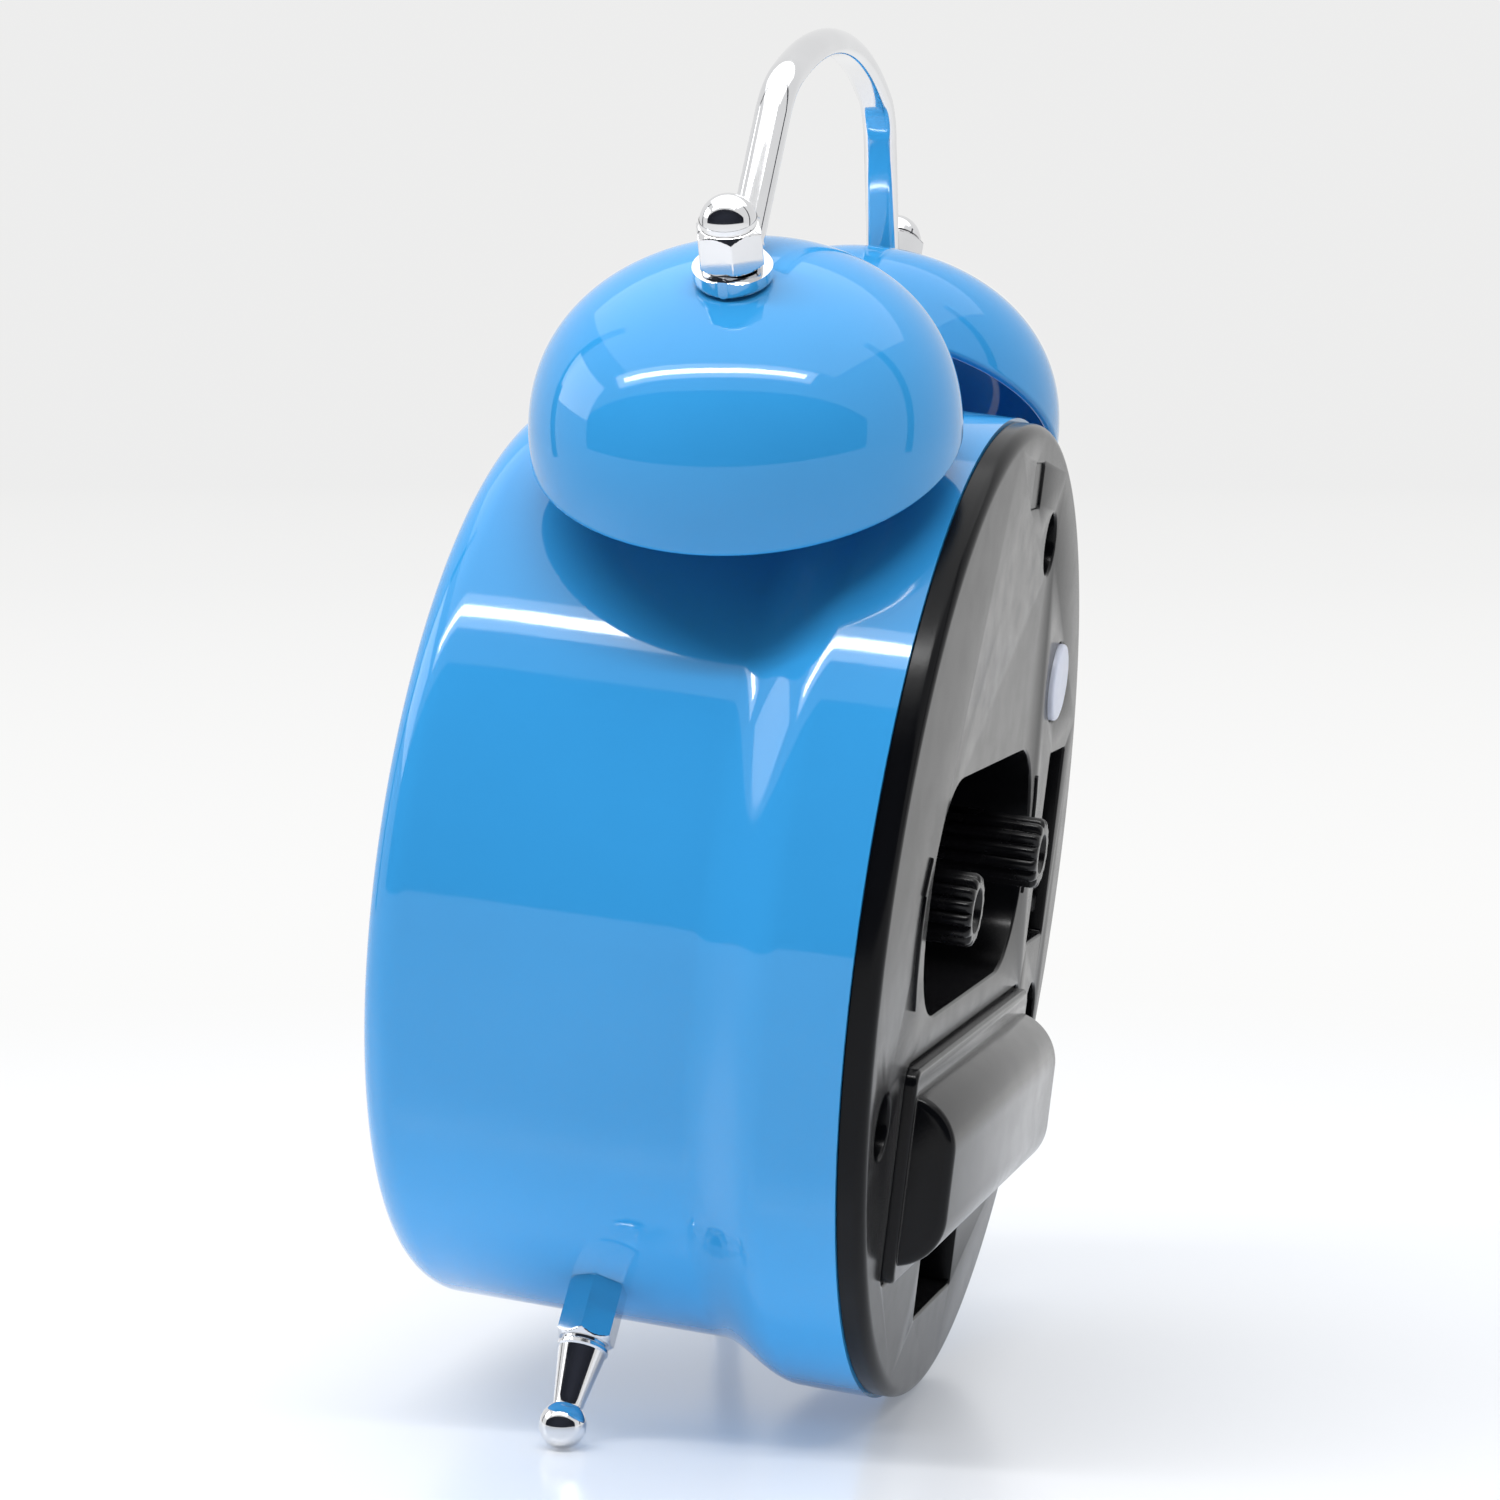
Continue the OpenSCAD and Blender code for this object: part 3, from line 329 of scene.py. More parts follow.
def prism_x(outline, x0, x1):
    """Points and faces of a (y, z) outline between two places along X."""
    n = len(outline)
    verts = [(x, y, z) for x in (x0, x1) for y, z in outline]
    faces = [tuple(range(n)), tuple(range(n, 2 * n))]
    faces += [(k, (k + 1) % n, n + (k + 1) % n, n + k) for k in range(n)]
    return verts, faces


def merged(*shapes):
    """One set of points and faces from several shapes."""
    verts, faces = [], []
    for v, f in shapes:
        base = len(verts)
        verts += list(v)
        faces += [tuple(base + i for i in face) for face in f]
    return verts, faces


def combine(obj, shape, how):
    """Exact boolean of an object with a shape, applied to its mesh."""
    tool = add("tool", *shape)
    mod = obj.modifiers.new("cut", "BOOLEAN")
    mod.operation, mod.solver, mod.object = how, "EXACT", tool
    dg = bpy.context.evaluated_depsgraph_get()
    me = bpy.data.meshes.new_from_object(obj.evaluated_get(dg))
    obj.modifiers.clear()
    old = obj.data
    obj.data = me
    bpy.data.meshes.remove(old)
    bpy.data.objects.remove(tool)


FLAT_ANGLE, EDGE_ANGLE = math.radians(0.3), math.radians(40)


def soften(obj, *rounds):
    """Rounds sharp edges: each entry is (offset, segments, test of an edge's two ends)."""
    bm = bmesh.new()
    bm.from_mesh(obj.data)
    bmesh.ops.remove_doubles(bm, verts=bm.verts, dist=1e-4)
    bmesh.ops.dissolve_limit(bm, angle_limit=FLAT_ANGLE, verts=bm.verts, edges=bm.edges)
    for offset, segments, test in rounds:
        edges = [e for e in bm.edges if len(e.link_faces) == 2 and e.calc_face_angle() > EDGE_ANGLE
                 and test(e.verts[0].co, e.verts[1].co)]
        bmesh.ops.bevel(bm, geom=edges, offset=offset, segments=segments, profile=0.5, affect="EDGES",
                        clamp_overlap=False)
    bmesh.ops.recalc_face_normals(bm, faces=bm.faces)
    bm.to_mesh(obj.data)
    bm.free()


def settle(obj, body, mat, replaces=(), sharp=32):
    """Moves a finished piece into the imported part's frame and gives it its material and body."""
    obj.data.transform(CLOCK)
    obj.data.materials.clear()
    obj.data.materials.append(mat)
    obj.data.shade_smooth()
    obj.data.set_sharp_from_angle(angle=math.radians(sharp))
    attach(obj, body)
    if replaces:
        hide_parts(*replaces)
    return obj


def hexagon(af, turn=0.0):
    """Radius of a hexagon across an angle; flats face the angle 0."""
    def r(a):
        d = (a - turn) % (TAU / 6)
        return af / 2 / math.cos(min(d, TAU / 6 - d))
    return r


def clipped(shape, limit):
    """A radius function cut off at a limit."""
    return lambda a: min(shape(a), limit)


def bevelled(shape, r0, r1, z0, z1, steps, first=0):
    """Rows of a chamfer: the shape clipped at a radius that grows or shrinks with the height."""
    return [(clipped(shape, r0 + (r1 - r0) * i / steps), z0 + (z1 - z0) * i / steps)
            for i in range(first, steps + 1)]


# =====================================================================
# Drum: pressed steel with a cosine flare and a rolled front hem
# =====================================================================


def drum_line(d):
    """Outer line of the drum from seam to front face, offset inward by d, as (radius, y)."""
    line = [(RIM_R - d, y) for y in (0.0, -2.0, -4.5)]
    for i in range(FLARE_STEPS + 1):
        t = 1 - i / FLARE_STEPS
        wave = (1 - math.cos(math.pi * t)) / 2
        line.append((DRUM_R + (RIM_R - DRUM_R) * wave - d, FLARE_Y0 + (FLARE_Y1 - FLARE_Y0) * t))
    line += [(DRUM_R - d, y) for y in DRUM_ROWS]
    line += arc(DRUM_R - FRONT_ROUND, -DRUM_LEN + FRONT_ROUND, FRONT_ROUND - d, 0, -90, 18)
    return line


hem = arc(LIP_R + STEEL / 2, -DRUM_LEN + STEEL / 2, STEEL / 2, -90, -270, 8)
drum = add("drum_shell", *revolve(drum_line(0) + hem + drum_line(STEEL)[::-1], 384, closed=True), ALONG_Y)


def over_slot(face):
    """True for a face of either skin that lies where the hammer's slot is."""
    c = face.calc_center_median()
    return c.z > 0 and abs(c.x) < SLOT_HALF and SLOT_Y0 < c.y < SLOT_Y1


bm = bmesh.new()
bm.from_mesh(drum.data)
bmesh.ops.delete(bm, geom=[f for f in bm.faces if over_slot(f)], context="FACES")
bmesh.ops.bridge_loops(bm, edges=[e for e in bm.edges if e.is_boundary])
bmesh.ops.recalc_face_normals(bm, faces=bm.faces)
bm.to_mesh(drum.data)
bm.free()
settle(drum, "clock", paint, ["case_shell"])

# =====================================================================
# Bells: flattened domes with a rolled rim
# =====================================================================


def dome(r, h, n):
    """Rows of a dome whose profile is a superellipse, from its rim to its top."""
    return [(r * math.cos(math.pi / 2 * i / n) ** (2 / DOME_POWER) if i < n else 0.0,
             h * math.sin(math.pi / 2 * i / n) ** (2 / DOME_POWER)) for i in range(n + 1)]


def bell_rows():
    """Both skins of a bell, joined by a round rim."""
    outer = [p for p in dome(BELL_R, BELL_H, 72) if p[1] > BELL_WALL * 0.5]
    inner = [p for p in dome(BELL_R - BELL_WALL, BELL_H - BELL_WALL, 72) if p[1] > BELL_WALL * 0.5]
    rim = arc(BELL_R - BELL_WALL / 2, BELL_WALL / 2, BELL_WALL / 2, 180, 360, 12)
    return inner[::-1] + rim + outer


for side, name in ((1, "bell_right"), (-1, "bell_left")):
    place = bell_frame(side) @ Matrix.Translation((0, 0, BELL_D))
    bell = add("dome_" + name, *revolve(bell_rows(), 192), place)
    settle(bell, "clock", bell_coat, [name])

# =====================================================================
# Handle: D-section strip that flattens into an eye under each cap nut
# =====================================================================


def smooth(t):
    """A step from 0 to 1 with level ends."""
    t = min(1.0, max(0.0, t))
    return t * t * (3 - 2 * t)


def strip_section(w, t, crown):
    """D-section as (out, along y): flat inside with rounded edges, crowned outside."""
    corner = min(0.3 * t, 0.42 * w)
    inside = -t / 2 + corner
    half = w / 2
    edge = t / 2 - crown
    flank = edge - (edge - inside) * 0.45
    rad = (half * half + crown * crown) / (2 * crown)
    sweep = math.degrees(math.asin(min(1.0, half / rad)))
    pts = arc(inside, half - corner, corner, 90, 180, 5)
    pts += arc(inside, corner - half, corner, 180, 270, 5)
    return pts + [(flank, -half)] + arc(t / 2 - rad, 0, rad, -sweep, sweep, 22) + [(flank, half)]


arch_c = Vector((0, HANDLE_Z - ARCH_R))


def polar_dir(a):
    """Unit vector (x, z) at an angle from the top."""
    return Vector((math.sin(math.radians(a)), math.cos(math.radians(a))))


def travel(a):
    """Direction of the strip's run where its outside faces the angle a."""
    return Vector((math.cos(math.radians(a)), -math.sin(math.radians(a))))


shoulder_c = arch_c + (ARCH_R - SHOULDER_R) * polar_dir(ARCH_A)
leg_top = shoulder_c + SHOULDER_R * polar_dir(LEG_A)
tab_mid = TAB_D + STRIP_T / 2
bell_out = polar_dir(BELL_TILT)
turn_in = FOOT_BEND_R * (polar_dir(LEG_A) - bell_out)
leg_len = ((leg_top + turn_in).dot(bell_out) - tab_mid) / -travel(LEG_A).dot(bell_out)
bend_c = leg_top + leg_len * travel(LEG_A) + FOOT_BEND_R * polar_dir(LEG_A)
tab_start = bend_c - FOOT_BEND_R * bell_out
tab_reach = (bell_out * tab_mid - tab_start).dot(travel(BELL_TILT))

# One half of the bow as (centre, angle, width, thickness, crown), from its top to the eye's end.
# Along the foot's bend the strip widens, thins and flattens a little.
ARCH_STEPS, SHOULDER_STEPS, BEND_STEPS, TAB_STEPS = 24, 40, 16, 32
BEND_WIDEN, BEND_THIN, BEND_FLATTEN = 0.5, 0.3, 0.2
TAB_CROWN0, TAB_CROWN, TAB_BLEND = 0.6, 0.3, 2.2
EYE_END_A, EYE_END_W = 88, 0.9

half = []
for i in range(1, ARCH_STEPS + 1):
    a = ARCH_A * i / ARCH_STEPS
    half.append((arch_c + ARCH_R * polar_dir(a), a, STRIP_W, STRIP_T, STRIP_CROWN))
for i in range(1, SHOULDER_STEPS + 1):
    a = ARCH_A + (LEG_A - ARCH_A) * i / SHOULDER_STEPS
    half.append((shoulder_c + SHOULDER_R * polar_dir(a), a, STRIP_W, STRIP_T, STRIP_CROWN))
for i in range(BEND_STEPS + 1):
    t = i / BEND_STEPS
    a = LEG_A + (BELL_TILT - LEG_A) * t
    half.append((bend_c - FOOT_BEND_R * polar_dir(a), a, STRIP_W + BEND_WIDEN * smooth(t),
                 STRIP_T - BEND_THIN * smooth(t), STRIP_CROWN - BEND_FLATTEN * smooth(t)))
for i in range(1, TAB_STEPS + 1):
    t = 2 * i / TAB_STEPS
    if t <= 1:
        run = tab_reach * t
        ring = max(0.0, EYE_R ** 2 - (run - tab_reach) ** 2) ** 0.5
        w = min(2 * (((STRIP_W + BEND_WIDEN) / 2) ** 6 + ring ** 6) ** (1 / 6), 2.04 * EYE_R)
    else:
        q = math.radians(EYE_END_A * (t - 1))
        run = tab_reach + EYE_R * math.sin(q)
        w = 2 * EYE_R * math.cos(q)
    f = smooth(run / TAB_BLEND)
    th = STRIP_T - BEND_THIN + (TAB_T - STRIP_T + BEND_THIN) * f
    crown = (TAB_CROWN0 - (TAB_CROWN0 - TAB_CROWN) * f) * min(1, w / 3)
    centre = tab_start + run * travel(BELL_TILT) + bell_out * (th - STRIP_T) / 2
    half.append((centre, BELL_TILT, max(w, EYE_END_W), th, crown))
stations = [(Vector((-c.x, c.y)), -a, w, t, k) for c, a, w, t, k in half[::-1]]
stations += [(Vector((0, HANDLE_Z)), 0.0, STRIP_W, STRIP_T, STRIP_CROWN)] + half

verts, faces = [], []
for c, a, w, t, k in stations:
    out = polar_dir(a)
    for u, v in strip_section(w, t, k):
        verts.append((c.x + out.x * u, v, c.y + out.y * u))
m = len(verts) // len(stations)
for i in range(len(stations) - 1):
    a, b = i * m, (i + 1) * m
    faces += [(a + k, b + k, b + (k + 1) % m, a + (k + 1) % m) for k in range(m)]
faces += [tuple(range(m)), tuple(range(len(verts) - m, len(verts)))]
bow_lean = (Matrix.Translation((0, 0, TAB_Z)) @ Matrix.Rotation(math.radians(-HANDLE_LEAN), 4, "X")
            @ Matrix.Translation((0, 0, -TAB_Z)))
bow = add("bow_handle", verts, faces, bell_frame(0) @ bow_lean)
settle(bow, "clock", chrome, ["handle"], sharp=40)

# =====================================================================
# Cap nuts and feet: chamfered hexagons, turned domes, cones and balls
# =====================================================================

NUT_AF, NUT_TURN, NUT_FACE_R, NUT_CORNER_R = 5.8, -16, 2.75, 3.35
CAP_HEX_H, CAP_TOP, CAP_DOME_R = 4.0, 6.8, 2.65

nut_hex = hexagon(NUT_AF, math.radians(NUT_TURN))
nut_rows = [(0.0, 0.0), (NUT_FACE_R, 0.0)]
nut_rows += bevelled(nut_hex, NUT_FACE_R, NUT_CORNER_R, 0.0, 0.42, 6, first=1)
nut_rows += [(nut_hex, z) for z in (0.5, 1.4, 2.4, CAP_HEX_H - 0.62)]
nut_rows += bevelled(nut_hex, NUT_CORNER_R, NUT_FACE_R, CAP_HEX_H - 0.55, CAP_HEX_H - 0.05, 8)
# A shallow groove between the hexagon and the dome
nut_rows += [(2.60, CAP_HEX_H), (2.56, CAP_HEX_H + 0.15)]
nut_rows += [(CAP_DOME_R - 0.06, CAP_HEX_H + 0.3), (CAP_DOME_R, CAP_HEX_H + 0.6)]
nut_rows += arc(0, CAP_TOP - CAP_DOME_R, CAP_DOME_R, 0, 90, 20)[:-1] + [(0.0, CAP_TOP)]
nut_verts, nut_faces = revolve(nut_rows, 144)
on_eye = Matrix.Translation((0, 0, TAB_D + TAB_T))
caps = merged(*[([bell_frame(s) @ on_eye @ Vector(v) for v in nut_verts], nut_faces) for s in (1, -1)])
settle(add("cap_nuts_domed", *caps), "clock", chrome, ["cap_nuts"], sharp=22)

FOOT_AF, NECK_R, CONE_R, COLLAR_H = 5.1, 1.42, 2.3, 0.8
FOOT_TOP = DRUM_R - 0.3
FOOT_LOW = DRUM_R + 0.05 + FOOT_HEX_H

# The ball's centre lies where its underside is level with the rim's
reach = RIM_R * math.cos(LEAN) - BALL_R - FOOT_Y * math.sin(LEAN)
ball_z = reach / (math.cos(math.radians(FOOT_TILT)) * math.cos(LEAN))
neck_z = ball_z - math.sqrt(BALL_R ** 2 - NECK_R ** 2)
neck_angle = math.degrees(math.asin(NECK_R / BALL_R))
cone_z = FOOT_LOW + COLLAR_H

foot_hex = hexagon(FOOT_AF)
foot_rows = [(0.0, FOOT_TOP), (2.6, FOOT_TOP)]
foot_rows += bevelled(foot_hex, 2.62, 2.98, FOOT_TOP, FOOT_TOP + 0.3, 5)
foot_rows += [(foot_hex, z) for z in (FOOT_TOP + 0.5, FOOT_TOP + 2.5, FOOT_LOW - 1.4, FOOT_LOW - 0.75)]
foot_rows += bevelled(foot_hex, 2.95, 2.45, FOOT_LOW - 0.7, FOOT_LOW - 0.2, 6)
# A groove and a rounded collar, then the cone, then the ball
foot_rows += [(r, FOOT_LOW + z) for r, z in ((2.22, -0.18), (2.2, 0.1), (2.36, 0.2), (2.46, 0.32),
                                             (2.46, 0.62), (2.38, 0.74), (CONE_R, COLLAR_H))]
foot_rows += [(CONE_R + (NECK_R - CONE_R) * t, cone_z + (neck_z - 0.15 - cone_z) * t)
              for t in (0.15, 0.4, 0.65, 0.9, 1.0)]
foot_rows += arc(0, ball_z, BALL_R, neck_angle - 90, 90, 28)[:-1] + [(0.0, ball_z + BALL_R)]
for side, name in ((-1, "foot_right"), (1, "foot_left")):
    foot = add("turned_" + name, *revolve(foot_rows, 120), radial(180 + side * FOOT_TILT, FOOT_Y))
    settle(foot, "clock", chrome, [name], sharp=26)

# =====================================================================
# Rear cover, battery door and the small controls
# =====================================================================


def disc(p, r, n=48):
    """A circle as (x, z) points."""
    return [(p[0] + r * math.cos(TAU * k / n), p[1] + r * math.sin(TAU * k / n)) for k in range(n)]


def pocket(spec, grow, y0, y1, n=12):
    """A prism on a rounded rectangle from the sizes above, grown by a wall."""
    return prism(rounded(spec["at"], spec["w"], spec["h"], spec["r"], n, grow), y0, y1)


# Walls end inside the cover's skin, each kind at its own level so that no two faces coincide
POCKET_TOP, BAY_TOP, WELL_TOP, WELL_WALL = 1.4, 1.3, 1.5, 0.8
SKIRT_Y, SEAM_BREAK, BUTTON_HOLE_Y, ABOVE = -3.0, 0.15, -6.0, 12.0

rows = [(SKIRT_R - WALL, FACE_Y - SKIN), (SKIRT_R - WALL, SKIRT_Y), (SKIRT_R, SKIRT_Y), (SKIRT_R, 0.0),
        (COVER_R - SEAM_BREAK, 0.0), (COVER_R, SEAM_BREAK)]
rows += arc(COVER_R - COVER_ROUND, FACE_Y - COVER_ROUND, COVER_ROUND, 0, 90, 10)
cover = add("rear_cover_moulding", *revolve(rows, 256), ALONG_Y)
walls = [pocket(p, WALL, p["floor"] - WALL, POCKET_TOP) for p in (RECESS, SLOT, NOTCH)]
combine(cover, merged(*walls), "UNION")
walls = [prism(disc(p, WELL_R + WELL_WALL), WELL_FLOOR - WALL, WELL_TOP) for p in WELLS]
combine(cover, merged(pocket(BAY, WALL, BAY["floor"] - WALL, BAY_TOP), *walls), "UNION")
holes = [pocket(p, 0, p["floor"], ABOVE) for p in (RECESS, SLOT, NOTCH, BAY)]
holes += [prism(disc(p, WELL_R), WELL_FLOOR, ABOVE) for p in WELLS]
holes += [prism(disc(BUTTON, BUTTON_HOLE_R, 64), BUTTON_HOLE_Y, ABOVE)]
holes += [pocket(MARK_FIELD, 0, MARK_FIELD["floor"], ABOVE, 6)]
combine(cover, merged(*holes), "DIFFERENCE")
combine(cover, pocket(DOOR, DOOR_GAP, FACE_Y - FLANGE_T - 0.1, ABOVE), "DIFFERENCE")

NEAR = 0.01


def on_face(a, b):
    """True for an edge that lies in the cover's flat face, inside its rounded rim."""
    return (abs(a.y - FACE_Y) < NEAR and abs(b.y - FACE_Y) < NEAR
            and math.hypot(a.x, a.z) < COVER_R - COVER_ROUND - 0.3)


def on_recess_floor(a, b):
    """True for an edge that lies in the floor of the knob recess."""
    (x, z), reach_x, reach_z = RECESS["at"], RECESS["w"] / 2 + 0.7, RECESS["h"] / 2 + 0.7
    return all(abs(p.y - RECESS["floor"]) < NEAR and abs(p.x - x) < reach_x and abs(p.z - z) < reach_z
               for p in (a, b))


soften(cover, (0.32, 3, on_face), (0.8, 3, on_recess_floor))
settle(cover, "clock", black, ["rear_cover"], sharp=30)

# Door: a raised flange, a squarish bulge over the cell with softened ends, hollow behind.
# DOOR_Y is the flange's outer face and BACK_Y its inner one
DOOR_Y = FACE_Y + FLANGE_RISE
BACK_Y = FACE_Y - FLANGE_T


def bulge_section(inset, y0):
    """The bulge's outline in Y and Z above the level y0, drawn in by inset."""
    r = BULGE_CORNER - inset
    y = CELL_Y + BULGE_R - inset - r
    half = BULGE_H / 2 - inset
    low = arc(y, CELL_Z - half + r, r, -90, 0, 20)
    high = arc(y, CELL_Z + half - r, r, 0, 90, 20)
    return [(y0, CELL_Z - half)] + low + high + [(y0, CELL_Z + half)]


END_X = BULGE_W / 2
INNER_X = END_X - DOOR_SKIN
door = add("battery_door_cover", *pocket(DOOR, 0, BACK_Y, DOOR_Y, 8))
combine(door, prism_x(bulge_section(0, BACK_Y + 0.1), -END_X, END_X), "UNION")
combine(door, prism_x(bulge_section(DOOR_SKIN, BACK_Y - 3), -INNER_X, INNER_X), "DIFFERENCE")
combine(door, pocket(THUMB_LIP, 0, BACK_Y + 0.02, FACE_Y - 0.4, 4), "UNION")


def bulge_end(a, b):
    """True for an edge around either end of the bulge, outside the flange."""
    at_end = all(abs(abs(p.x) - END_X) < NEAR and p.y > DOOR_Y - NEAR for p in (a, b))
    return at_end and max(a.y, b.y) > DOOR_Y + 0.05


def flange_edge(a, b):
    """True for an edge of the flange's outer face, away from the bulge's foot."""
    on_flange = all(abs(p.y - DOOR_Y) < NEAR for p in (a, b))
    return on_flange and all(abs(p.x) > END_X + 1 or abs(p.z - CELL_Z) > BULGE_H / 2 + 0.05 for p in (a, b))


soften(door, (0.9, 5, bulge_end), (0.4, 3, flange_edge))
settle(door, "battery_door", door_black, ["battery_door"], sharp=34)


def refined(node, name, body, mat, offset, segments=2):
    """A copy of a CAD node with its sharp edges broken."""
    obj = bpy.data.objects.new(name, nodes[node].data.copy())
    bpy.context.scene.collection.objects.link(obj)
    obj.data.transform(CLOCK.inverted())
    soften(obj, (offset, segments, lambda a, b: True))
    return settle(obj, body, mat, [node], sharp=34)


refined("alarm_switch", "alarm_switch_slider", "alarm_switch", knob_black, 0.15)
refined("light_button", "light_button_cap", "light_button", pale, 0.3, 3)
refined("hammer_head", "hammer_head_turned", "hammer", chrome, 0.3, 3)


RIBS, RIB_TIP, RIB_ROOT, KNOB_LIP, KNOB_HOLE = 14, 3.6, 3.02, 0.4, 2.2


def ribbed(pos, y0, y1, bore, turn):
    """A fluted knob with rounded ribs, chamfered ends and a hollow end."""
    def ring(inset, scale=1.0):
        def r(a):
            lobe = abs(math.cos(RIBS * (a + turn) / 2)) ** 0.9
            return min(RIB_ROOT - inset * 0.4 + (RIB_TIP - RIB_ROOT) * scale * lobe, RIB_TIP - inset)
        return r

    rows = [(0.0, y0), (2.6, y0), (ring(0.35, 0.5), y0 + 0.05), (ring(0.0), y0 + 0.5)]
    rows += [(ring(0.0), y0 + 0.5 + (y1 - y0 - 1.1) * i / 6) for i in range(1, 7)]
    rows += [(ring(0.10, 0.9), y1 - 0.35), (ring(0.28, 0.7), y1 - 0.12), (ring(0.5, 0.4), y1)]
    rows += [(bore + KNOB_LIP, y1), (bore + 0.12, y1), (bore, y1 - 0.15)]
    rows += [(bore, y1 - KNOB_HOLE), (0.0, y1 - KNOB_HOLE)]
    verts, faces = revolve(rows, RIBS * 16)
    place = Matrix.Translation((pos[0], 0, pos[1])) @ ALONG_Y
    return [place @ Vector(v) for v in verts], faces


# Node, body, place, height over the face, bore and turn of each knob
KNOBS = [("time_knob", "time_setter", TIME_POS, 3.8, 1.9, 0.1),
         ("alarm_knob", "alarm_setter", ALARM_POS, 2.1, 2.1, 0.0)]
for node, body, pos, end, bore, turn in KNOBS:
    knob = add(node + "_fluted", *ribbed(pos, RECESS["floor"] + 1, FACE_Y + end, bore, turn))
    settle(knob, body, knob_black, [node], sharp=40)

# Generic direction arrows moulded on the face beside the recess
ARROW_H, ARROW_W, HEAD_SWEEP, ARROW_STEPS = 0.28, 0.55, 12, 14


def on_circle(c, r, a):
    """The point of a circle at an angle in degrees."""
    return arc(*c, r, a, a, 1)[0]


def curved_arrow(c, r, a0, a1):
    """A bent arrow: a strip on a circle with a head at its second end."""
    neck = a1 - math.copysign(HEAD_SWEEP, a1 - a0)
    outer = arc(*c, r + ARROW_W / 2, a0, neck, ARROW_STEPS)
    inner = arc(*c, r - ARROW_W / 2, neck, a0, ARROW_STEPS)
    barb = ARROW_W * 1.7
    head = [on_circle(c, r + barb, neck), on_circle(c, r, a1), on_circle(c, r - barb, neck)]
    return prism(outer + head + inner, FACE_Y - 0.1, FACE_Y + ARROW_H)


arrows = merged(curved_arrow(ALARM_POS, 17.6, -26, 22), curved_arrow(TIME_POS, 14.9, 156, 204))
marks = add("face_arrows", *arrows)
soften(marks, (0.1, 2, lambda a, b: a.y > FACE_Y + 0.2 and b.y > FACE_Y + 0.2))
settle(marks, "clock", black)

# =====================================================================
# Dial print: numerals and minute track
# =====================================================================


NUMERAL_R, NUMERAL_SIZE, NUMERAL_HALF_T = 29.2, 8.4, 0.04
TRACK_R, RING_R0, RING_R1, RING_T = 37.0, 37.35, 37.7, 0.1
HOUR_MARK, MINUTE_MARK = (0.9, 33.9), (0.36, 35.6)   # width, inner radius
NUMERAL_Y, RING_Y, MARK_Y0, MARK_Y1 = [DIAL_Y - lift for lift in (0.06, 0.12, 0.28, 0.1)]   # before the dial


def numeral(text, x, z):
    """Points and faces of a number on the dial, in Blender's own font, read from the front."""
    curve = bpy.data.curves.new("numeral", "FONT")
    curve.body = text
    curve.size = NUMERAL_SIZE
    curve.align_x, curve.align_y = "CENTER", "CENTER"
    curve.extrude = NUMERAL_HALF_T
    curve.resolution_u = 6
    tmp = bpy.data.objects.new("numeral", curve)
    bpy.context.scene.collection.objects.link(tmp)
    dg = bpy.context.evaluated_depsgraph_get()
    me = bpy.data.meshes.new_from_object(tmp.evaluated_get(dg))
    verts = [Vector((x + v.co.x, NUMERAL_Y - v.co.z, z + v.co.y)) for v in me.vertices]
    faces = [tuple(p.vertices) for p in me.polygons]
    bpy.data.objects.remove(tmp)
    bpy.data.meshes.remove(me)
    return verts, faces


shapes = []
for hour in range(1, 13):
    a = math.radians(30 * hour)
    shapes.append(numeral(str(hour), NUMERAL_R * math.sin(a), NUMERAL_R * math.cos(a)))
for minute in range(60):
    a = TAU * minute / 60
    w, r0 = MINUTE_MARK if minute % 5 else HOUR_MARK
    side = Vector((math.cos(a), -math.sin(a)))
    out = Vector((math.sin(a), math.cos(a)))
    corners = [out * r + side * s * w / 2 for r, s in ((r0, -1), (TRACK_R, -1), (TRACK_R, 1), (r0, 1))]
    shapes.append(prism([(p.x, p.y) for p in corners], MARK_Y0, MARK_Y1))
ring = [(RING_R0, 0), (RING_R1, 0), (RING_R1, RING_T), (RING_R0, RING_T)]
verts, faces = revolve(ring, 180, closed=True)
shapes.append(([Vector((x, RING_Y + z, y)) for x, y, z in verts], faces))
settle(add("dial_numerals", *merged(*shapes)), "clock", ink)

# =====================================================================
# Stage, lights and camera
# =====================================================================

# The floor fades into a haze that is as bright as the horizon. Distances are in metres from the clock
FLOOR_BASE, FLOOR_GLOW, GLOW = (0.51, 0.513, 0.52, 1), (0.81, 0.88, 1.0, 1), 0.26
FADE_NEAR, FADE_FAR, HAZE_FAR = 0.09, 0.30, 3.0
HAZE_STOPS = [(0.14, 0.965), (0.26, 0.940), (0.36, 0.920), (0.54, 0.888), (0.90, 0.860)]
HORIZON = (0.850, 0.850, 0.848, 1)

verts, faces = revolve([(r, 0.0) for r in (0.0, 0.5, 1.5, 5.0, 40.0)], 96)
floor = add("floor", verts, faces[:-1])
floor_mat = bpy.data.materials.new("studio_floor")
floor_mat.use_nodes = True
nt = floor_mat.node_tree
new, link = nt.nodes.new, nt.links.new
bsdf = nt.nodes["Principled BSDF"]
bsdf.inputs["Base Color"].default_value = FLOOR_BASE
bsdf.inputs["Emission Color"].default_value = FLOOR_GLOW
bsdf.inputs["Emission Strength"].default_value = GLOW
bsdf.inputs["Roughness"].default_value = 0.22
bsdf.inputs["Specular IOR Level"].default_value = 0.35
haze = new("ShaderNodeEmission")
haze.inputs["Strength"].default_value = 1.0
mix = new("ShaderNodeMixShader")
coord = new("ShaderNodeTexCoord")
far = new("ShaderNodeVectorMath")
far.operation = "LENGTH"
fade = new("ShaderNodeMapRange")
fade.interpolation_type = "SMOOTHSTEP"
fade.inputs["From Min"].default_value = FADE_NEAR
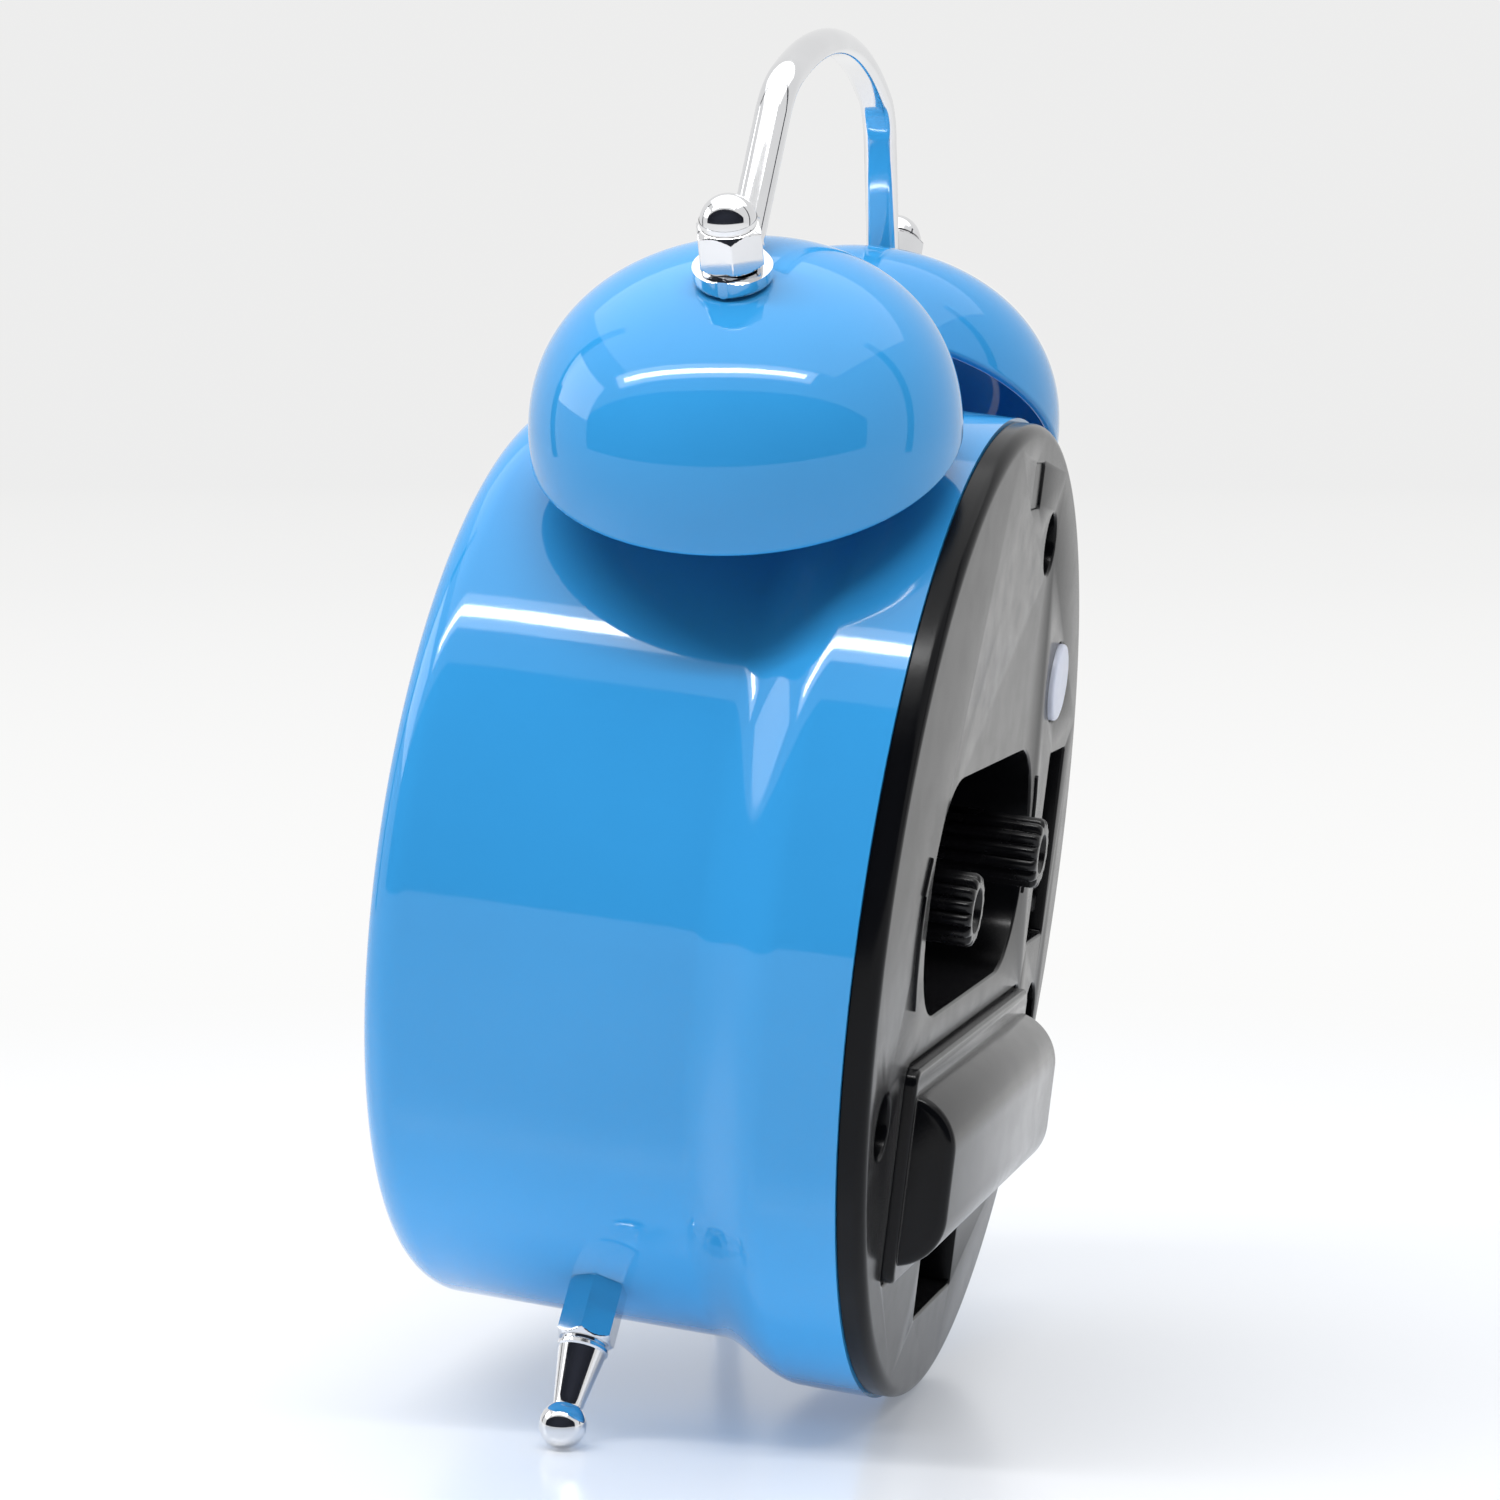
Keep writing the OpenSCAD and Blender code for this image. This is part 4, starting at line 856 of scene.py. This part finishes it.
fade.inputs["From Max"].default_value = FADE_FAR
share = new("ShaderNodeMapRange")
share.inputs["From Max"].default_value = HAZE_FAR
depth = new("ShaderNodeValToRGB")
ramp = depth.color_ramp.elements
while len(ramp) < len(HAZE_STOPS) + 1:
    ramp.new(0.5)
for element, (position, level) in zip(ramp, HAZE_STOPS):
    element.position, element.color = position, (level, level, level * 0.996, 1)
ramp[-1].position, ramp[-1].color = 1.0, HORIZON
link(far.outputs["Value"], share.inputs["Value"])
link(share.outputs["Result"], depth.inputs["Fac"])
link(depth.outputs["Color"], haze.inputs["Color"])
link(coord.outputs["Object"], far.inputs[0])
link(far.outputs["Value"], fade.inputs["Value"])
link(fade.outputs["Result"], mix.inputs["Fac"])
link(bsdf.outputs["BSDF"], mix.inputs[1])
link(haze.outputs["Emission"], mix.inputs[2])
link(mix.outputs["Shader"], nt.nodes["Material Output"].inputs["Surface"])
floor.data.materials.append(floor_mat)

world = bpy.data.worlds.new("studio")
bpy.context.scene.world = world
world.use_nodes = True
sky = world.node_tree.nodes["Background"]
sky.inputs["Color"].default_value = HORIZON
sky.inputs["Strength"].default_value = 1.0

# The eye's place and the direction it looks in, in degrees and metres
TARGET = Vector(SEAM)
EYE_DIST, EYE_AZ, EYE_EL = 0.46697, 100.78, 6.80
LOOK_YAW, LOOK_PITCH, LENS = 103.27, 4.90, 113.88


def sphere_dir(az, el):
    """Unit vector at an azimuth and an elevation in degrees."""
    az, el = math.radians(az), math.radians(el)
    return Vector((math.sin(az) * math.cos(el), -math.cos(az) * math.cos(el), math.sin(el)))


def softbox(name, at, w, h, power, glossy=True, toward=TARGET):
    """A rectangular area light with its width along Y, unseen by the camera."""
    data = bpy.data.lights.new(name, "AREA")
    data.shape, data.size, data.size_y, data.energy = "RECTANGLE", w, h, power
    obj = bpy.data.objects.new(name, data)
    back = (Vector(at) - Vector(toward)).normalized()
    side = Vector((0, 1, 0))
    side = (side - back * side.dot(back)).normalized()
    turn = Matrix((side, back.cross(side), back)).transposed().to_4x4()
    obj.matrix_world = Matrix.Translation(Vector(at)) @ turn
    obj.visible_camera = False
    obj.visible_glossy = glossy
    bpy.context.scene.collection.objects.link(obj)


# Places and sizes in metres, power in watts
softbox("ceiling", (-0.10, 0.0, 0.75), 1.2, 0.8, 2.6)
softbox("light_strip", (0.30, -0.08, 0.66), 0.85, 0.035, 2.4)
softbox("strip_glow", (0.305, -0.08, 0.67), 1.0, 0.11, 1.3)
softbox("side_box", (0.02, -0.72, 0.42), 0.30, 0.42, 0.9)
softbox("fill", (0.34, -0.08, 0.66), 0.8, 0.1, 1.5, glossy=False)
softbox("floor_bounce", (0.13, 0.0, 0.001), 0.40, 0.22, 0.20, glossy=False, toward=(0.13, 0.0, 1.0))

# Dark cards, also unseen by the camera: the tent's open front and the posts at its sides.
# Each stands on the floor between two points and has a height, in metres
CARDS = [((0.62, -2.5), (0.62, 2.5), 0.80),
         ((-0.16, -0.75), (-0.24, -0.75), 1.2),
         ((-0.24, 0.75), (-0.16, 0.75), 1.2)]
panels = [([(*a, 0.0), (*b, 0.0), (*b, h), (*a, h)], [(0, 1, 2, 3)]) for a, b, h in CARDS]
cards = add("dark_cards", *merged(*panels))
cards.data.materials.append(shader("black_flock", (0.020, 0.022, 0.030), (0.8, 0.9), specular=0.0))
cards.visible_camera = False

cam_data = bpy.data.cameras.new("camera")
cam_data.lens, cam_data.sensor_width, cam_data.clip_start = LENS, 36.0, 0.01
cam = bpy.data.objects.new("camera", cam_data)
cam.location = TARGET + sphere_dir(EYE_AZ, EYE_EL) * EYE_DIST
look = -sphere_dir(LOOK_YAW, LOOK_PITCH)
cam.rotation_euler = look.to_track_quat("-Z", "Y").to_euler()
bpy.context.scene.collection.objects.link(cam)
bpy.context.scene.camera = cam
bpy.context.scene.view_settings.view_transform = "Standard"
